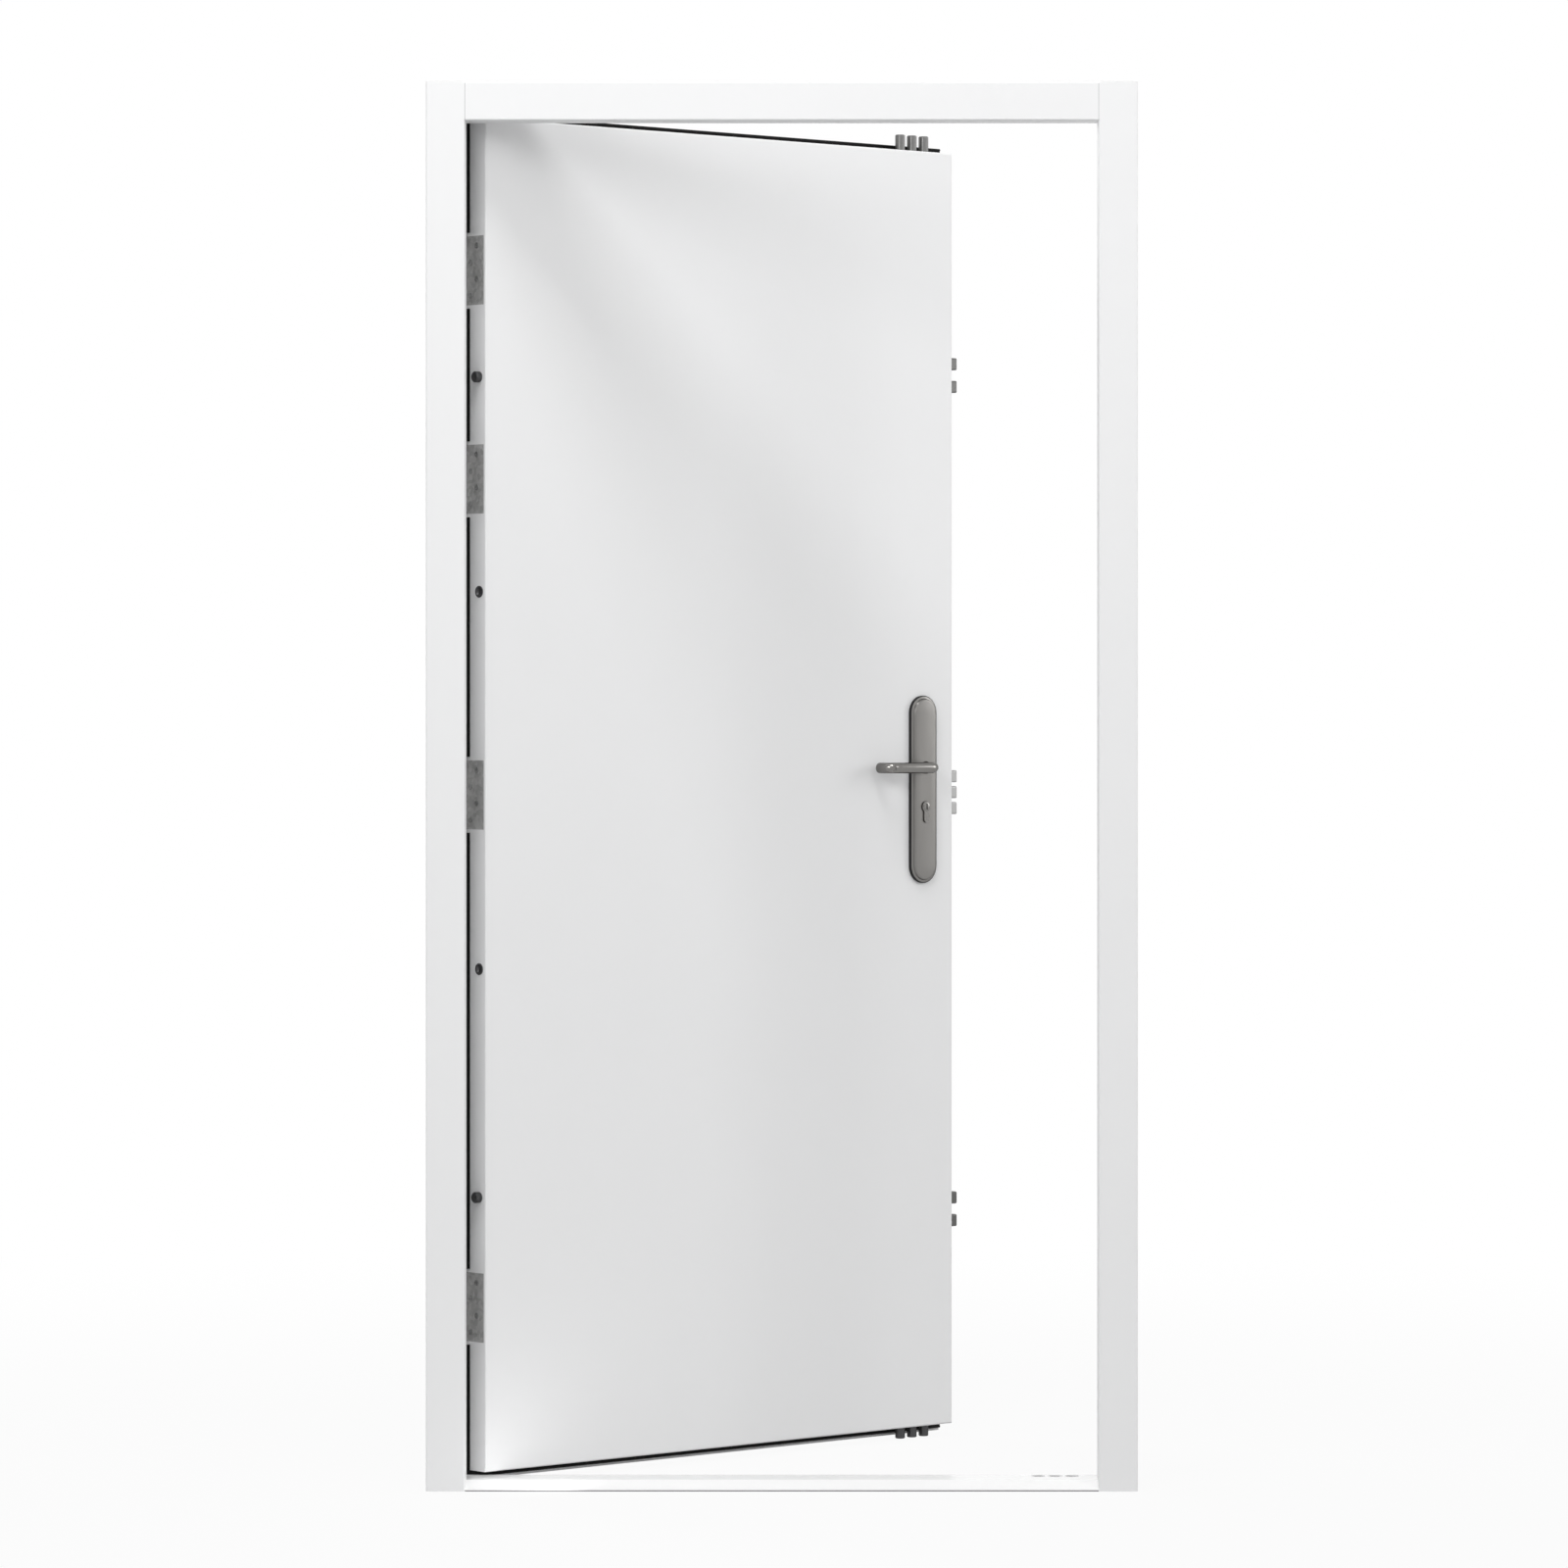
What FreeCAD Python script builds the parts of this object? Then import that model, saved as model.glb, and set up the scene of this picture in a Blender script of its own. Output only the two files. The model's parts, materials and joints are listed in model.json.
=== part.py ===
"""Steel security door set, in millimetres.

A pressed steel frame stands in its wall and carries an outward-opening steel leaf on four
pinned hinges. The origin is the middle of the frame's footprint on the floor, +X runs to
the lock side, +Y points outdoors and +Z up. Every piece of the leaf is drawn with the door
shut, and is then swung open about the hinge pins.
"""

import FreeCAD, Part
import math
import os

Vector = FreeCAD.Vector

# Frame
FRAME_WIDTH = 1020.0
FRAME_HEIGHT = 2020.0
FRAME_DEPTH = 100.0
FRAME_SHEET = 1.5
FACE_WIDTH = 56.0
REVEAL_DEPTH = 50.0
STOP_WIDTH = 17.0
SEAT_DEPTH = 14.0
SEAT_WIDTH = 7.0
WALL_RETURN = 15.0
BEND_INSIDE = 1.0

# Fixing straps across the open back of each jamb
STRAP_THICKNESS = 2.0
STRAP_HEIGHT = 40.0
STRAP_HOLE = 10.0
STRAP_FROM_FLOOR = 250.0
STRAP_COUNT = 3

# Threshold
THRESHOLD_HEIGHT = 13.5
THRESHOLD_NOSE = 2.8
THRESHOLD_RAMP = 28.0
THRESHOLD_WALL = 2.0

# Leaf
LEAF_BODY_DEPTH = 40.0
LIP_DEPTH = 5.0
LEAF_SHEET = 1.5
LIP_FOLD = 15.0
LIP_OVERLAP = 8.5
BOTTOM_LIP_OVERLAP = 14.5
SIDE_GAP = 7.0
TOP_GAP = 7.0
BOTTOM_GAP = 5.0
STOP_GAP = 5.0
OPEN_ANGLE = 42.0

# Seal
SEAL_THICKNESS = 4.0
SEAL_ROUND = 1.5
BOTTOM_SEAL_DROP = 9.0

# Core
CORE_MARGIN = 20.0
LOCK_STILE = 113.0

# Hinges
PIN_OFFSET = 4.0
PIN_STAND_OFF = 11.4
PIN_RADIUS = 4.5
PIN_PLAY = 0.1
PIN_CAP_RADIUS = 6.5
PIN_CAP_HEIGHT = 2.0
KNUCKLE_RADIUS = 8.0
KNUCKLE_GAP = 0.5
HINGE_HEIGHT = 100.0
FRAME_KNUCKLE = 12.5
PLATE_THICKNESS = 3.0
PLATE_INSET = 5.0
NOTCH_MARGIN = 5.0
TOP_HINGE_DROP = 219.0
UPPER_HINGE_DROP = 521.0
BOTTOM_HINGE_RISE = 236.5

# Dog bolts and plugs in the hinge edge
DOG_BOLT_RADIUS = 8.0
DOG_BOLT_PROUD = 9.0
DOG_BOLT_SHANK = 12.0
DOG_BOLT_DEPTH = 16.0
DOG_BOLT_CLEARANCE = 3.0
UPPER_DOG_BOLT_DROP = 373.5
LOWER_DOG_BOLT_RISE = 396.0
PLUG_RADIUS = 7.0
PLUG_FLANGE_RADIUS = 8.5
PLUG_FLANGE = 0.8
PLUG_LENGTH = 6.0
PLUG_DIMPLE = 3.5
PLUG_DEPTH = 15.0
UPPER_PLUG_DROP = 684.0
LOWER_PLUG_RISE = 726.0

# Locks
LOCK_HEIGHT = 990.0
BOLT_DEPTH = 17.0
RUNNING_CLEARANCE = 0.3
STRIKE_CLEARANCE = 2.75
SIDE_STRIKE_CLEARANCE = 1.75
BACKSET = 65.0
FACEPLATE_THICKNESS = 2.0
FACEPLATE_WIDTH = 24.0
FACEPLATE_MARGIN = 26.0
FACEPLATE_CORNER = 4.0
CASE_WALL = 2.0
CASE_DEPTH = 57.0
CENTRE_CASE_DEPTH = 88.0
CENTRE_CASE_HEIGHT = 200.0
CARRIAGE_THICKNESS = 6.0
CARRIAGE_WIDTH = 12.0

SIDE_BOLT_HEIGHT = 18.5
SIDE_BOLT_THICKNESS = 14.0
SIDE_BOLT_ROUNDING = 2.0
SIDE_BOLT_THROW = 20.0
SIDE_BOLT_TAIL = 26.0
UPPER_PAIR_DROP = 341.0
LOWER_PAIR_RISE = 328.5
SIDE_PAIR_PITCH = 35.0
SIDE_TRIPLE_PITCH = 24.6

END_BOLT_RADIUS = 7.5
END_BOLT_PITCH = 24.5
END_BOLT_SHIFT = 4.5
END_BOLT_TAIL = 30.0
END_BOLT_CHAMFER = 1.2
TOP_BOLT_THROW = 24.5
BOTTOM_BOLT_THROW = 17.5
ROD_RADIUS = 5.0
ROD_SETBACK = 15.0
ROD_ENTRY = 15.0

# Escutcheons, cylinder and levers
ESCUTCHEON_WIDTH = 54.0
ESCUTCHEON_HEIGHT = 287.0
ESCUTCHEON_BASE = 5.5
ESCUTCHEON_FIELD = 4.5
ESCUTCHEON_STEP = 5.0
ESCUTCHEON_ROUND = 1.2
ESCUTCHEON_RISE = 5.5
LEVER_RISE = 39.0
CYLINDER_DROP = 21.0
CYLINDER_RADIUS = 8.5
CYLINDER_LEG = 10.0
CYLINDER_HEIGHT = 33.0
CYLINDER_PROUD = 2.0
KEYWAY_WIDTH = 2.0
KEYWAY_HEIGHT = 9.0
KEYWAY_DEPTH = 6.0
LEVER_RADIUS = 8.1
LEVER_REACH = 98.0
LEVER_STAND_OFF = 36.5
LEVER_BEND = 17.0
LEVER_TIP_GAP = 10.0
SPINDLE_WIDTH = 8.0
SPINDLE_SOCKET = 15.0
HOLE_MARGIN = 3.0

# Places that follow from the sizes above
HALF_WIDTH = FRAME_WIDTH / 2
INSIDE_FACE = -FRAME_DEPTH / 2
STOP_FACE = INSIDE_FACE + REVEAL_DEPTH
REBATE_HALF = HALF_WIDTH - FACE_WIDTH + STOP_WIDTH
SEAT_HALF = REBATE_HALF + SEAT_WIDTH
REBATE_TOP = FRAME_HEIGHT - FACE_WIDTH + STOP_WIDTH
LEAF_HALF = REBATE_HALF - SIDE_GAP
LEAF_WIDTH = 2 * LEAF_HALF
LEAF_TOP = REBATE_TOP - TOP_GAP
LEAF_BOTTOM = THRESHOLD_HEIGHT + BOTTOM_GAP
LEAF_FACE = STOP_FACE + STOP_GAP
LEAF_DEPTH = LEAF_BODY_DEPTH + LIP_DEPTH
PIN_X = -LEAF_HALF - PIN_OFFSET
PIN_Y = LEAF_FACE + LEAF_DEPTH + PIN_STAND_OFF
LOCK_AXIS = LEAF_WIDTH - BACKSET
LEVER_HEIGHT = LOCK_HEIGHT + LEVER_RISE
CYLINDER_CENTRE = LOCK_HEIGHT - CYLINDER_DROP
HINGE_HEIGHTS = [
    LEAF_BOTTOM + BOTTOM_HINGE_RISE,
    (LEAF_BOTTOM + LEAF_TOP) / 2,
    LEAF_TOP - UPPER_HINGE_DROP,
    LEAF_TOP - TOP_HINGE_DROP,
]
DOG_BOLT_HEIGHTS = [LEAF_BOTTOM + LOWER_DOG_BOLT_RISE, LEAF_TOP - UPPER_DOG_BOLT_DROP]
PLUG_HEIGHTS = [LEAF_BOTTOM + LOWER_PLUG_RISE, LEAF_TOP - UPPER_PLUG_DROP]
SIDE_BOLT_GROUPS = {
    "upper": [LEAF_TOP - UPPER_PAIR_DROP + side * SIDE_PAIR_PITCH / 2 for side in (-1, 1)],
    "centre": [LOCK_HEIGHT + step * SIDE_TRIPLE_PITCH for step in (-1, 0, 1)],
    "lower": [LEAF_BOTTOM + LOWER_PAIR_RISE + side * SIDE_PAIR_PITCH / 2 for side in (-1, 1)],
}
END_BOLT_PLACES = [LOCK_AXIS - END_BOLT_SHIFT + step * END_BOLT_PITCH for step in (-1, 0, 1)]
ACROSS = Vector(1, 0, 0)
OUT = Vector(0, 1, 0)
UP = Vector(0, 0, 1)


def block(low, high):
    """A box between two opposite corners."""
    return Part.makeBox(high[0] - low[0], high[1] - low[1], high[2] - low[2], Vector(*low))


def leaf_point(across, depth, height):
    """A point of the shut leaf, from its hinge edge and its inner face."""
    return Vector(across - LEAF_HALF, LEAF_FACE + depth, height)


def leaf_block(low, high):
    """A box in the shut leaf's own measures: across, depth, height."""
    return block(tuple(leaf_point(*low)), tuple(leaf_point(*high)))


def cylinder(radius, base, axis, length):
    """A round bar from base along axis."""
    return Part.makeCylinder(radius, length, base, axis)


def fuse_all(shapes):
    """One solid from shapes that touch or overlap."""
    return shapes[0].multiFuse(shapes[1:]).removeSplitter()


def outline(points):
    """A flat face from its corners."""
    return Part.Face(Part.makePolygon(points + [points[0]]))


# Folded sheet

def offset_corners(points, distance):
    """The corners of a path moved to its left by a distance."""
    moved = []
    for index, point in enumerate(points):
        before = points[max(index - 1, 0)]
        after = points[min(index + 1, len(points) - 1)]
        into = (point - before) if index else (after - point)
        out_of = (after - point) if index < len(points) - 1 else into
        left_in = Vector(-into.y, into.x, 0).normalize()
        left_out = Vector(-out_of.y, out_of.x, 0).normalize()
        step = (left_in + left_out) * (distance / (1 + left_in.dot(left_out)))
        moved.append(point + step)
    return moved


def bent_edges(corners, left_radius, right_radius):
    """Straight runs joined by tangent arcs, with one radius for left turns and one for right."""
    edges = []
    start = corners[0]
    for index in range(1, len(corners) - 1):
        corner = corners[index]
        into = (corner - corners[index - 1]).normalize()
        out_of = (corners[index + 1] - corner).normalize()
        turn = into.getAngle(out_of)
        turns_left = into.cross(out_of).z > 0
        radius = left_radius if turns_left else right_radius
        run = radius * math.tan(turn / 2)
        towards = (out_of - into).normalize()
        middle = corner + towards * (radius / math.cos(turn / 2) - radius)
        first = corner - into * run
        last = corner + out_of * run
        edges.append(Part.LineSegment(start, first).toShape())
        edges.append(Part.Arc(first, middle, last).toShape())
        start = last
    edges.append(Part.LineSegment(start, corners[-1]).toShape())
    return edges


def folded_face(points, sheet):
    """The cut face of a folded sheet: the path is its shown side and the metal is to its left."""
    bend_outside = BEND_INSIDE + sheet
    shown = bent_edges(points, bend_outside, BEND_INSIDE)
    hidden = bent_edges(offset_corners(points, sheet), BEND_INSIDE, bend_outside)
    ends = [
        Part.LineSegment(shown[0].Vertexes[0].Point, hidden[0].Vertexes[0].Point).toShape(),
        Part.LineSegment(shown[-1].Vertexes[1].Point, hidden[-1].Vertexes[1].Point).toShape(),
    ]
    return Part.Face(Part.Wire(Part.__sortEdges__(shown + hidden + ends)))


def frame_path():
    """The frame's section from its wall side (0) towards the opening, and from indoors (0) out."""
    opening = FACE_WIDTH
    rebate = FACE_WIDTH - STOP_WIDTH
    seat = rebate - SEAT_WIDTH
    seat_start = FRAME_DEPTH - SEAT_DEPTH
    places = [
        (0, WALL_RETURN),
        (0, 0),
        (opening, 0),
        (opening, REVEAL_DEPTH),
        (rebate, REVEAL_DEPTH),
        (rebate, seat_start),
        (seat, seat_start),
        (seat, FRAME_DEPTH),
        (0, FRAME_DEPTH),
        (0, FRAME_DEPTH - WALL_RETURN),
    ]
    return [Vector(across, depth, 0) for across, depth in places]


def jamb_bar(face, side):
    """A frame section stood upright at the hinge side (-1) or the lock side (+1)."""
    bar = face.extrude(Vector(0, 0, FRAME_HEIGHT))
    bar.translate(Vector(-HALF_WIDTH, INSIDE_FACE, 0))
    if side > 0:
        bar = bar.mirror(Vector(0, 0, 0), ACROSS)
    return bar


def jamb_envelope(side):
    """What a jamb takes up, filled, for trimming what butts against it."""
    shown = bent_edges(frame_path(), BEND_INSIDE + FRAME_SHEET, BEND_INSIDE)
    closing = Part.LineSegment(shown[-1].Vertexes[1].Point, shown[0].Vertexes[0].Point).toShape()
    return jamb_bar(Part.Face(Part.Wire(Part.__sortEdges__(shown + [closing]))), side)


# Frame pieces

def hinge_jamb():
    """The jamb that carries the hinges, with holes for the dog bolts."""
    jamb = jamb_bar(folded_face(frame_path(), FRAME_SHEET), -1)
    for height in HINGE_HEIGHTS:
        jamb = jamb.cut(frame_hinge_plate(height))
    for height in DOG_BOLT_HEIGHTS:
        centre = leaf_point(0, DOG_BOLT_DEPTH, height)
        hole = cylinder(DOG_BOLT_RADIUS + DOG_BOLT_CLEARANCE, centre, Vector(-1, 0, 0), 3 * SIDE_GAP)
        jamb = jamb.cut(hole)
    return jamb


def lock_jamb():
    """The jamb that takes the side bolts."""
    jamb = jamb_bar(folded_face(frame_path(), FRAME_SHEET), 1)
    for heights in SIDE_BOLT_GROUPS.values():
        for height in heights:
            span = (LEAF_WIDTH, LEAF_WIDTH + 3 * SIDE_GAP)
            jamb = jamb.cut(side_bolt_bar(span, height, SIDE_STRIKE_CLEARANCE))
    return jamb


def head():
    """The frame's top, butted between the jambs, with holes for the top bolts."""
    bar = folded_face(frame_path(), FRAME_SHEET).extrude(Vector(0, 0, 2 * SEAT_HALF))
    bar.rotate(Vector(0, 0, 0), OUT, 90)
    bar.translate(Vector(-SEAT_HALF, INSIDE_FACE, FRAME_HEIGHT))
    for side in (-1, 1):
        bar = bar.cut(jamb_envelope(side))
    for across in END_BOLT_PLACES:
        centre = leaf_point(across, BOLT_DEPTH, LEAF_TOP)
        bar = bar.cut(cylinder(END_BOLT_RADIUS + STRIKE_CLEARANCE, centre, UP, 3 * TOP_GAP))
    return bar


def threshold():
    """A low hollow sill with a ramp on its indoor side and sockets for the bottom bolts."""
    depth = FRAME_DEPTH - SEAT_DEPTH
    slope = (THRESHOLD_HEIGHT - THRESHOLD_NOSE) / THRESHOLD_RAMP
    drop = THRESHOLD_WALL * math.hypot(1, slope)
    inner_top = THRESHOLD_HEIGHT - THRESHOLD_WALL
    cavity_start = (THRESHOLD_WALL + drop - THRESHOLD_NOSE) / slope
    cavity_knee = (inner_top + drop - THRESHOLD_NOSE) / slope
    outside = [(0, 0), (0, THRESHOLD_NOSE), (THRESHOLD_RAMP, THRESHOLD_HEIGHT)]
    outside += [(depth, THRESHOLD_HEIGHT), (depth, 0)]
    inside = [(cavity_start, THRESHOLD_WALL), (cavity_knee, inner_top)]
    inside += [(depth - THRESHOLD_WALL, inner_top), (depth - THRESHOLD_WALL, THRESHOLD_WALL)]
    bars = []
    for places in (outside, inside):
        face = outline([Vector(-REBATE_HALF, INSIDE_FACE + y, z) for y, z in places])
        bars.append(face.extrude(Vector(2 * REBATE_HALF, 0, 0)))
    sill = bars[0].cut(bars[1])
    for side in (-1, 1):
        sill = sill.cut(jamb_envelope(side))
    for across in END_BOLT_PLACES:
        centre = leaf_point(across, BOLT_DEPTH, -1)
        radius = END_BOLT_RADIUS + STRIKE_CLEARANCE
        sill = sill.cut(cylinder(radius, centre, UP, THRESHOLD_HEIGHT + 2))
    return sill


def jamb_straps(side):
    """Flat straps welded behind the returns of one jamb, each with a hole for a wall anchor."""
    straps = []
    pitch = (FRAME_HEIGHT - 2 * STRAP_FROM_FLOOR) / (STRAP_COUNT - 1)
    wall_side = HALF_WIDTH - FRAME_SHEET
    flange = FRAME_SHEET + BEND_INSIDE
    for index in range(STRAP_COUNT):
        height = STRAP_FROM_FLOOR + index * pitch
        strap = block(
            (wall_side - STRAP_THICKNESS, INSIDE_FACE + flange, height - STRAP_HEIGHT / 2),
            (wall_side, -INSIDE_FACE - flange, height + STRAP_HEIGHT / 2),
        )
        start = Vector(wall_side - 2 * STRAP_THICKNESS, 0, height)
        strap = strap.cut(cylinder(STRAP_HOLE / 2, start, ACROSS, 4 * STRAP_THICKNESS))
        straps.append(strap)
    pack = Part.makeCompound(straps)
    if side < 0:
        pack = pack.mirror(Vector(0, 0, 0), ACROSS)
    return pack


# Hinges

def knuckle(low, high, bore):
    """One knuckle of a hinge barrel, bored for the pin."""
    base = Vector(PIN_X, PIN_Y, low)
    return cylinder(KNUCKLE_RADIUS, base, UP, high - low), cylinder(bore, base, UP, high - low)


def frame_hinge_plate(height):
    """The fixed half of a hinge: a plate let into the jamb, with the two outer knuckles."""
    half = HINGE_HEIGHT / 2
    plate_end = -REBATE_HALF
    plate = block(
        (plate_end - PLATE_THICKNESS, STOP_FACE + STOP_GAP + PLATE_INSET, height - half),
        (plate_end, FRAME_DEPTH / 2, height + half),
    )
    pieces = [plate]
    bores = []
    for low in (height - half, height + half - FRAME_KNUCKLE):
        high = low + FRAME_KNUCKLE
        web = block((plate_end - PLATE_THICKNESS, FRAME_DEPTH / 2, low), (plate_end, PIN_Y, high))
        barrel, bore = knuckle(low, high, PIN_RADIUS)
        pieces += [web, barrel]
        bores.append(bore)
    return fuse_all(pieces).cut(Part.makeCompound(bores))


def leaf_hinge_plate(height):
    """The moving half of a hinge: a plate let into the leaf's edge, with the middle knuckle."""
    half = HINGE_HEIGHT / 2
    plate = leaf_block((0, PLATE_INSET, height - half), (PLATE_THICKNESS, LEAF_DEPTH, height + half))
    low = height - half + FRAME_KNUCKLE + KNUCKLE_GAP
    high = height + half - FRAME_KNUCKLE - KNUCKLE_GAP
    web = leaf_block((0, LEAF_DEPTH, low), (PLATE_THICKNESS, LEAF_DEPTH + PIN_STAND_OFF, high))
    barrel, bore = knuckle(low, high, PIN_RADIUS + PIN_PLAY)
    return fuse_all([plate, web, barrel]).cut(bore)


def hinge_pin(height):
    """A hinge pin with a cap at each end."""
    half = HINGE_HEIGHT / 2
    pin = cylinder(PIN_RADIUS, Vector(PIN_X, PIN_Y, height - half), UP, HINGE_HEIGHT)
    caps = []
    for base in (height - half - PIN_CAP_HEIGHT, height + half):
        cap = cylinder(PIN_CAP_RADIUS, Vector(PIN_X, PIN_Y, base), UP, PIN_CAP_HEIGHT)
        caps.append(cap)
    return fuse_all([pin] + caps)


# Leaf shell

def hinge_notches():
    """The room that the hinges take out of the leaf's lip and seal."""
    notches = []
    reach = LIP_OVERLAP + 1
    for height in HINGE_HEIGHTS:
        half = HINGE_HEIGHT / 2
        deep = leaf_block((-reach, 0, height - half), (PLATE_THICKNESS, LEAF_DEPTH + 1, height + half))
        half += NOTCH_MARGIN
        wide = leaf_block((-reach, 0, height - half), (0, LEAF_DEPTH + 1, height + half))
        notches += [deep, wide]
    return Part.makeCompound(notches)


def through_holes():
    """Round holes for the spindle and shaped ones for the lock cylinder, through both skins."""
    spindle_hole = cylinder(
        LEVER_RADIUS + RUNNING_CLEARANCE,
        leaf_point(LOCK_AXIS, -HOLE_MARGIN, LEVER_HEIGHT),
        OUT,
        LEAF_DEPTH + 2 * HOLE_MARGIN,
    )
    return Part.makeCompound([spindle_hole, cylinder_body(RUNNING_CLEARANCE)])


def rounded_tray(low, high, radius):
    """A box with the edges round its indoor face rounded, as a folded tray has them."""
    tray = leaf_block(low, high)
    face = leaf_point(*low).y
    edges = [edge for edge in tray.Edges if all(abs(v.Y - face) < 1e-6 for v in edge.Vertexes)]
    return tray.makeFillet(radius, edges)


def leaf_inner_tray():
    """The indoor skin, folded back round all four edges of the leaf."""
    sheet = LEAF_SHEET
    outside = rounded_tray(
        (0, 0, LEAF_BOTTOM), (LEAF_WIDTH, LEAF_BODY_DEPTH, LEAF_TOP), BEND_INSIDE + sheet
    )
    inside = rounded_tray(
        (sheet, sheet, LEAF_BOTTOM + sheet),
        (LEAF_WIDTH - sheet, LEAF_BODY_DEPTH, LEAF_TOP - sheet),
        BEND_INSIDE,
    )
    tray = outside.cut(inside).cut(through_holes())
    for height in HINGE_HEIGHTS:
        half = HINGE_HEIGHT / 2
        tray = tray.cut(
            leaf_block((0, PLATE_INSET, height - half), (PLATE_THICKNESS, LEAF_DEPTH, height + half))
        )
    for heights in SIDE_BOLT_GROUPS.values():
        tray = tray.cut(side_faceplate_blank(heights))
    for height in (LEAF_BOTTOM, LEAF_TOP - FACEPLATE_THICKNESS):
        tray = tray.cut(end_faceplate_blank(height))
    for height in DOG_BOLT_HEIGHTS:
        tray = tray.cut(dog_bolt(height))
    for height in PLUG_HEIGHTS:
        hole = cylinder(PLUG_RADIUS, leaf_point(0, PLUG_DEPTH, height), ACROSS, PLUG_LENGTH)
        tray = tray.cut(hole)
    return tray


def leaf_outer_skin():
    """The outdoor skin, folded over round its rim into a flat hollow lip."""
    sheet = LEAF_SHEET
    low = (-LIP_OVERLAP, LEAF_BODY_DEPTH, LEAF_BOTTOM - BOTTOM_LIP_OVERLAP)
    high = (LEAF_WIDTH + LIP_OVERLAP, LEAF_DEPTH, LEAF_TOP + LIP_OVERLAP)
    skin = leaf_block(low, high)
    outdoor = leaf_point(*high).y
    edges = [edge for edge in skin.Edges if all(abs(v.Y - outdoor) < 1e-6 for v in edge.Vertexes)]
    skin = skin.makeFillet(BEND_INSIDE + sheet, edges)
    hollow = leaf_block(
        (low[0] + sheet, low[1] + sheet, low[2] + sheet),
        (high[0] - sheet, high[1] - sheet, high[2] - sheet),
    )
    back = leaf_block(
        (LIP_FOLD, LEAF_BODY_DEPTH, LEAF_BOTTOM + LIP_FOLD),
        (LEAF_WIDTH - LIP_FOLD, LEAF_BODY_DEPTH + sheet, LEAF_TOP - LIP_FOLD),
    )
    return skin.cut(hollow).cut(back).cut(hinge_notches()).cut(through_holes())


def leaf_core():
    """The insulating slab between the two skins, kept clear of the locks."""
    core = leaf_block(
        (CORE_MARGIN, LEAF_SHEET, LEAF_BOTTOM + CORE_MARGIN),
        (LEAF_WIDTH - LOCK_STILE, LEAF_DEPTH - LEAF_SHEET, LEAF_TOP - CORE_MARGIN),
    )
    return core


def seal_strip(low, high, rounded):
    """A length of seal with its free edge rounded; rounded picks the edges by their middle."""
    strip = leaf_block(low, high)
    edges = [edge for edge in strip.Edges if rounded(edge.CenterOfMass)]
    return strip.makeFillet(SEAL_ROUND, edges)


def side_seal(hinge_side):
    """The seal down one side of the leaf, between the top and bottom lengths."""
    start = -LIP_OVERLAP if hinge_side else LEAF_WIDTH
    free = start if hinge_side else start + LIP_OVERLAP
    inner = LEAF_BODY_DEPTH - SEAL_THICKNESS
    corner = leaf_point(free, inner, 0)

    def on_free_edge(point):
        return abs(point.x - corner.x) < 0.01 and abs(point.y - corner.y) < 0.01

    strip = seal_strip(
        (start, inner, LEAF_BOTTOM), (start + LIP_OVERLAP, LEAF_BODY_DEPTH, LEAF_TOP), on_free_edge
    )
    return strip.cut(hinge_notches()) if hinge_side else strip


def end_seal(at_top):
    """The seal across the top or the bottom of the leaf, over both corners."""
    low = LEAF_TOP if at_top else LEAF_BOTTOM - BOTTOM_SEAL_DROP
    high = LEAF_TOP + LIP_OVERLAP if at_top else LEAF_BOTTOM
    free = high if at_top else low
    inner = LEAF_BODY_DEPTH - SEAL_THICKNESS
    corner = leaf_point(0, inner, free)

    def on_free_edge(point):
        return abs(point.z - corner.z) < 0.01 and abs(point.y - corner.y) < 0.01

    return seal_strip(
        (-LIP_OVERLAP, inner, low), (LEAF_WIDTH + LIP_OVERLAP, LEAF_BODY_DEPTH, high), on_free_edge
    )


def dog_bolt(height):
    """A fixed stud that enters the jamb when the door is shut."""
    base = leaf_point(DOG_BOLT_SHANK, DOG_BOLT_DEPTH, height)
    stud = cylinder(DOG_BOLT_RADIUS, base, Vector(-1, 0, 0), DOG_BOLT_SHANK + DOG_BOLT_PROUD)
    tip = base.x - DOG_BOLT_SHANK - DOG_BOLT_PROUD
    rim = [edge for edge in stud.Edges if abs(edge.CenterOfMass.x - tip) < 0.01]
    return stud.makeChamfer(DOG_BOLT_RADIUS / 5, rim)


def edge_plug(height):
    """A pressed plug with a thin flange and a dimple, closing a hole in the hinge edge."""
    base = leaf_point(0, PLUG_DEPTH, height)
    inward = ACROSS
    flange = cylinder(PLUG_FLANGE_RADIUS, base - inward * PLUG_FLANGE, inward, PLUG_FLANGE)
    body = cylinder(PLUG_RADIUS, base, inward, PLUG_LENGTH)
    dimple = Part.makeCone(
        PLUG_RADIUS - 1, PLUG_RADIUS / 2, PLUG_DIMPLE, base - inward * PLUG_FLANGE, inward
    )
    return fuse_all([flange, body]).cut(dimple)


# Locks

def corners_rounded(plate, through):
    """The plate with the four edges that run through its thickness rounded."""
    edges = [edge for edge in plate.Edges if abs(edge.tangentAt(0).dot(through)) > 0.99]
    return plate.makeFillet(FACEPLATE_CORNER, edges)


def side_faceplate_blank(heights):
    """The outline of a faceplate let into the lock edge, without its holes."""
    low = min(heights) - FACEPLATE_MARGIN
    high = max(heights) + FACEPLATE_MARGIN
    near = BOLT_DEPTH - FACEPLATE_WIDTH / 2
    plate = leaf_block(
        (LEAF_WIDTH - FACEPLATE_THICKNESS, near, low), (LEAF_WIDTH, near + FACEPLATE_WIDTH, high)
    )
    return corners_rounded(plate, ACROSS)


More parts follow.
